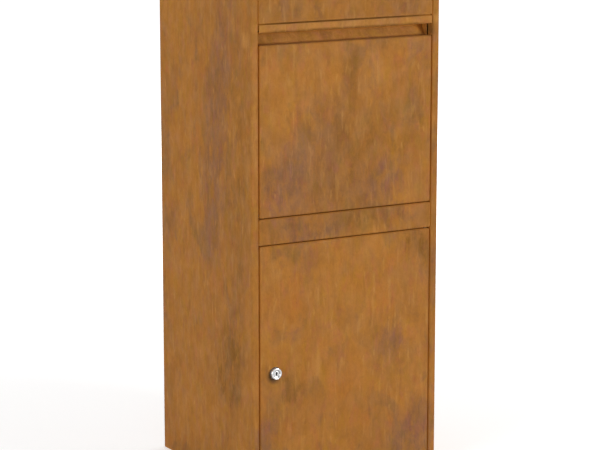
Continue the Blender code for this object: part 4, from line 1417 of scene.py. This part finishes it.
@dataclass
class CamLock:
    """The chromed cam lock in the door."""

    rack: FinishRack
    metal: SheetMetal
    sides: int = 72
    rim: float = 0.0014
    barrel: float = 0.0090
    hole: float = 0.0092  # radius of the hole in the door, which the seal and the nut keep to
    thread_pitch: float = 0.0010
    thread_depth: float = 0.00045
    key_width: float = 0.0020
    key_height: float = 0.0084
    key_hole: float = 0.0021  # radius of the hole in the middle of the keyway
    key_wave: float = 0.00028
    key_steps: int = 12
    key_swing: float = 1.7  # turn of the wave from one step to the next
    key_depth: float = 0.0105
    overshoot: float = 0.001  # how far a cutter stands out of what it cuts
    gasket: float = 0.0016

    def __post_init__(self) -> None:
        """Reads the lock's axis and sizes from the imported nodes."""
        low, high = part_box("lock_body")
        self.axis = Vector(((low.x + high.x) / 2, 0.0, (low.z + high.z) / 2))
        self.face, self.tail = low.y, high.y
        self.head = (high.x - low.x) / 2
        self.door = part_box("door_panel")[0].y
        low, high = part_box("lock_plug")
        self.plug = (high.x - low.x) / 2
        self.plug_face, self.plug_tail = low.y, high.y

    def lathe(self, name: str, profile: Outline, material: Material | None, closed: bool = False) -> Object:
        """A turned piece on the lock's axis.

        Args:
            name: The piece's name.
            profile: Radius and depth pairs, the depth being the world's Y.
            material: The finish, if it has one.
            closed: Whether the profile is a ring, as for a hollow shape.

        Returns:
            The piece, in place.
        """

        def fill(work: BMesh) -> None:
            """Turns the profile round the axis.

            Args:
                work: The mesh to fill.
            """
            verts = [work.verts.new((self.axis.x + radius, y, self.axis.z)) for radius, y in profile]
            pairs = list(zip(verts, verts[1:])) + ([(verts[-1], verts[0])] if closed else [])
            line = verts + [work.edges.new(pair) for pair in pairs]
            bmesh.ops.spin(work, geom=line, cent=self.axis, axis=BACK, angle=2 * math.pi, steps=self.sides,
                           use_merge=True)
            bmesh.ops.remove_doubles(work, verts=work.verts, dist=0.000001)
            bmesh.ops.recalc_face_normals(work, faces=work.faces)

        mesh = to_mesh(name, fill)
        mesh.shade_smooth()
        mesh.set_sharp_from_angle(angle=CREASE)
        return show(name, mesh, material)

    def threaded(self, start: float, end: float) -> Outline:
        """The profile of the threaded barrel from one depth to the next.

        Args:
            start: The depth of the first turn.
            end: The depth of the barrel's end.

        Returns:
            Radius and depth pairs.
        """
        pitch, root = self.thread_pitch, self.barrel - self.thread_depth
        points: Outline = []
        for turn in range(int((end - start) / pitch)):
            y = start + turn * pitch
            points += [(self.barrel, y), (self.barrel, y + pitch * 0.18), (root, y + pitch * 0.5),
                       (root, y + pitch * 0.62)]
        return [*points, (root, end)]

    def body(self) -> None:
        """The round head with its turned rim and the threaded barrel behind the door's sheet."""
        bore, barrel, head, rim = self.plug + FIT, self.barrel, self.head, self.rim
        face, tail = self.face, self.tail
        seat, back = self.door - self.gasket, self.door + SHEET + FIT
        depth = seat - face
        profile = [
            (bore, face + 0.0010), (bore + 0.0003, face + 0.0005), (bore + 0.0010, face + 0.0002),
            (head - rim - 0.0012, face + 0.0002), (head - rim - 0.0008, face), (head - rim - 0.0002, face),
            (head - rim * 0.55, face + rim * 0.30), (head - rim * 0.18, face + rim * 0.75),
            (head, face + rim * 1.3), (head, face + depth * 0.62), (head - 0.0004, face + depth * 0.66),
            (head - 0.0004, face + depth * 0.74), (head, face + depth * 0.78), (head, seat - 0.0003),
            (head - 0.0003, seat), (barrel, seat), (barrel, back), *self.threaded(back, tail - 0.0006),
            (barrel - 0.0008, tail), (bore + 0.0004, tail), (bore, tail - 0.0004),
        ]
        piece = self.lathe("lock_head", profile, self.rack.chrome, closed=True)
        hand_over(piece, Body.DOOR, Slot.CHROME, "lock_body")

    def seal(self) -> None:
        """The rubber ring that keeps rain out between the head and the door."""
        inner, outer = self.hole, self.head + 0.0007
        front, back = self.door - self.gasket + FIT / 3, self.door
        middle = (front + back) / 2
        profile = [
            (inner, front), (outer - 0.0003, front), (outer, front + 0.0003), (outer + 0.0002, middle),
            (outer, back - 0.0003), (outer - 0.0002, back), (inner, back),
        ]
        hand_over(self.lathe("lock_seal", profile, self.rack.rubber, closed=True), Body.DOOR, Slot.RUBBER)

    def barrel_plug(self) -> None:
        """The turning plug with its keyway."""
        plug, face, tail = self.plug, self.plug_face, self.plug_tail
        spigot, screw, shoulder = plug * 0.62, 0.0023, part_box("lock_cam")[0].y - FIT
        profile = [
            (0.0, face), (plug - 0.0016, face), (plug - 0.0012, face + 0.00018), (plug - 0.0008, face),
            (plug - 0.0003, face), (plug, face + 0.0003), (plug, shoulder), (spigot, shoulder),
            (spigot, tail - 0.0003), (spigot - 0.0003, tail), (screw, tail), (screw, tail - 0.0049),
            (0.0, tail - 0.0049),
        ]
        piece = self.lathe("lock_plug_core", profile, self.rack.chrome)
        # the cutter's near-black finish goes onto the keyway's walls as grime and painted shade
        cutter = show("keyway_cutter", self.keyway(), self.rack.bore)
        modify(piece, "BOOLEAN", operation="DIFFERENCE", object=cutter, solver="EXACT",
               material_mode="TRANSFER")
        modify(piece, "BEVEL", width=0.00010, segments=2, limit_method="ANGLE",
               angle_limit=math.radians(55.0))
        flattened(piece, cutter)
        piece.data.set_sharp_from_angle(angle=CREASE)
        hand_over(piece, Body.LOCK, Slot.CHROME, "lock_plug")

    def keyway(self) -> Mesh:
        """The cutter of the keyway: a waved slot with a round hole in its middle.

        Returns:
            The cutter's mesh.
        """
        half_width, half_height = self.key_width / 2, self.key_height / 2
        right: Outline = []
        left: Outline = []
        for step in range(self.key_steps + 1):
            height = -half_height + self.key_height * step / self.key_steps
            hole = math.sqrt(max(self.key_hole**2 - height**2, 0.0))
            wave = self.key_wave * math.sin(step * self.key_swing)
            right.append((max(half_width + wave, hole), height))
            left.append((-max(half_width - wave, hole), height))

        def fill(work: BMesh) -> None:
            """Draws the slot's outline and sweeps it into the plug.

            Args:
                work: The mesh to fill.
            """
            front = self.plug_face - self.overshoot
            verts = [work.verts.new((self.axis.x + x, front, self.axis.z + z)) for x, z in right + left[::-1]]
            swept = bmesh.ops.extrude_face_region(work, geom=[work.faces.new(verts)])["geom"]
            moved = [item for item in swept if isinstance(item, BMVert)]
            bmesh.ops.translate(work, verts=moved, vec=BACK * self.key_depth)
            bmesh.ops.recalc_face_normals(work, faces=work.faces)

        return to_mesh("keyway_cutter", fill)

    def nut(self) -> None:
        """The hexagon nut behind the sheet, its corners turned off to a chamfer."""
        low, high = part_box("lock_nut")
        corner = max(high.x - low.x, high.z - low.z) / 2
        piece = self.metal.copy("lock_nut", Body.DOOR, Slot.ZINC, "lock_nut_chamfered")
        inner, facet, reach, chamfer = self.hole - 0.001, corner * 0.88, corner * 1.02, 0.0011
        before, behind = low.y - self.overshoot, high.y + self.overshoot
        profile = [
            (inner, before), (facet, before), (facet, low.y), (reach, low.y + chamfer),
            (reach, high.y - chamfer), (facet, high.y), (facet, behind), (inner, behind),
        ]
        limit = self.lathe("nut_limit", profile, None, closed=True)
        modify(piece, "BOOLEAN", operation="INTERSECT", object=limit, solver="EXACT")
        flattened(piece, limit)
        piece.data.shade_smooth()
        piece.data.set_sharp_from_angle(angle=math.radians(25.0))

    def cam_and_screw(self) -> None:
        """The cam plate and the pan-head screw with its cross recess."""
        self.metal.copy("lock_cam", Body.LOCK, Slot.ZINC, "lock_cam_plate")
        low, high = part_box("cam_screw")
        head, cap, shank = (high.x - low.x) / 2, 0.0030, 0.0020
        seat = high.y - cap
        profile = [
            (0.0, low.y), (0.0017, low.y), (shank, low.y + 0.0004), (shank, seat), (head, seat),
            (head, seat + cap * 0.35), (head * 0.94, seat + cap * 0.62), (head * 0.78, seat + cap * 0.85),
            (head * 0.55, seat + cap * 0.97), (0.0, seat + cap),
        ]
        piece = self.lathe("cam_screw_head", profile, self.rack.zinc)

        def cross(work: BMesh) -> None:
            """Crosses two bars over the head.

            Args:
                work: The mesh to fill.
            """
            for size in ((0.0044, 0.0036, 0.0009), (0.0009, 0.0036, 0.0044)):
                made = bmesh.ops.create_cube(work, size=1.0)["verts"]
                bmesh.ops.scale(work, vec=size, verts=made)
                bmesh.ops.translate(work, vec=(self.axis.x, high.y, self.axis.z), verts=made)

        cutter = show("cross_cutter", to_mesh("cross_cutter", cross))
        modify(piece, "BOOLEAN", operation="DIFFERENCE", object=cutter, solver="EXACT", use_self=True)
        flattened(piece, cutter)
        piece.data.set_sharp_from_angle(angle=CREASE)
        hand_over(piece, Body.LOCK, Slot.ZINC, "cam_screw")

    def build(self) -> None:
        """Builds the lock's pieces."""
        self.body()
        self.seal()
        self.barrel_plug()
        self.nut()
        self.cam_and_screw()


@dataclass(frozen=True)
class SoftLamp:
    """A square lamp that faces the mailbox."""

    name: str
    place: Point
    size: float
    power: float


@dataclass
class Studio:
    """The pale floor, the soft light and the camera."""

    lens: float = 134.7
    place: Point = (-2.1256, -3.6449, 1.2629)
    heading: tuple[float, float] = (0.5047, 0.8633)
    pitch: float = math.radians(10.84)
    floor_colour: Colour = (0.80, 0.80, 0.80)
    floor_glow: tuple[float, float] = (0.42, 0.86)  # near the mailbox and far from it
    glow_reach: tuple[float, float] = (0.7, 2.4)
    sky_light: float = 0.32
    target: Point = (0.0, 0.0, 0.50)
    lamps: tuple[SoftLamp, ...] = (
        SoftLamp("front_lamp", (2.2, -3.7, 1.20), 1.3, 100.0),
        SoftLamp("left_lamp", (-4.0, -1.2, 1.2), 2.2, 84.0),
        SoftLamp("back_lamp", (1.5, 4.0, 2.2), 2.4, 80.0),
        SoftLamp("right_lamp", (4.0, 1.2, 1.8), 2.4, 55.0),
    )

    def build(self) -> None:
        """Builds the studio."""
        self.floor()
        self.world()
        for lamp in self.lamps:
            self.lamp(lamp)
        self.camera()
        bpy.context.scene.view_settings.view_transform = "Standard"

    def background_rays(self, graph: Graph) -> NodeSocket:
        """One where a ray shows the background: seen by the camera, in a reflection or through glass.

        Args:
            graph: The material's graph.

        Returns:
            The mask.
        """
        rays = graph.add("ShaderNodeLightPath").outputs
        seen = graph.maths("MAXIMUM", rays["Is Camera Ray"], rays["Is Glossy Ray"])
        return graph.maths("MAXIMUM", seen, rays["Is Transmission Ray"])

    def floor(self) -> None:
        """The floor, which keeps the shadow and glows a little where it is seen, so that it is white."""
        grid = {"x_segments": 1, "y_segments": 1, "size": 30.0}
        mesh = to_mesh("floor", lambda work: bmesh.ops.create_grid(work, **grid))
        material, graph, shader = blank_material("pale_floor")
        strength = graph.remap(graph.length(graph.place()), *self.glow_reach, *self.floor_glow)
        graph.wire(shader, {
            "Base Color": (*self.floor_colour, 1.0),
            "Roughness": 0.9,
            "Specular IOR Level": 0.0,
            "Emission Color": (1.0, 1.0, 1.0, 1.0),
            "Emission Strength": graph.maths("MULTIPLY", self.background_rays(graph), strength),
        })
        floor = show("floor", mesh, material)
        floor.location.z = -0.0002

    def world(self) -> None:
        """White where it is seen, and an even light of the set strength."""
        world = bpy.data.worlds.new("white_studio")
        bpy.context.scene.world = world
        world.use_nodes = True
        graph = Graph(world.node_tree)
        strength = graph.between(self.background_rays(graph), self.sky_light, 1.0)
        graph.wire(world.node_tree.nodes["Background"], {"Color": (1.0, 1.0, 1.0, 1.0), "Strength": strength})

    def lamp(self, lamp: SoftLamp) -> None:
        """One soft lamp, turned to the mailbox.

        Args:
            lamp: The lamp's place, size and power.
        """
        light = bpy.data.lights.new(lamp.name, "AREA")
        light.shape, light.size, light.energy = "SQUARE", lamp.size, lamp.power
        holder = show(lamp.name, light)
        holder.location = lamp.place
        towards = Vector(self.target) - Vector(lamp.place)
        holder.rotation_euler = towards.to_track_quat("-Z", "Y").to_euler()

    def camera(self) -> None:
        """The camera at the photograph's viewing angle."""
        data = bpy.data.cameras.new("camera")
        data.lens, data.sensor_width, data.clip_end = self.lens, 36.0, 200.0
        camera = show("camera", data)
        level = Vector((*self.heading, 0.0)).normalized() * math.cos(self.pitch)
        direction = level - Vector((0.0, 0.0, math.sin(self.pitch)))
        turn = direction.to_track_quat("-Z", "Y").to_matrix().to_4x4()
        camera.matrix_world = Matrix.Translation(self.place) @ turn
        bpy.context.scene.camera = camera


def clear_scene() -> None:
    """Empties the file."""
    for old in list(bpy.data.objects):
        bpy.data.objects.remove(old)


def main() -> None:
    """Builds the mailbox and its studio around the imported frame."""
    logging.basicConfig(level=logging.INFO, format="%(name)s: %(message)s")
    clear_scene()
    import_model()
    rack = FinishRack()
    metal = SheetMetal(rack)
    fittings = Fittings(rack)
    Studio().build()
    Casing(metal, fittings).build()
    ParcelFlap(metal, fittings).build()
    Door(metal, fittings).build()
    CamLock(rack, metal).build()


if __name__ == "__main__":
    main()
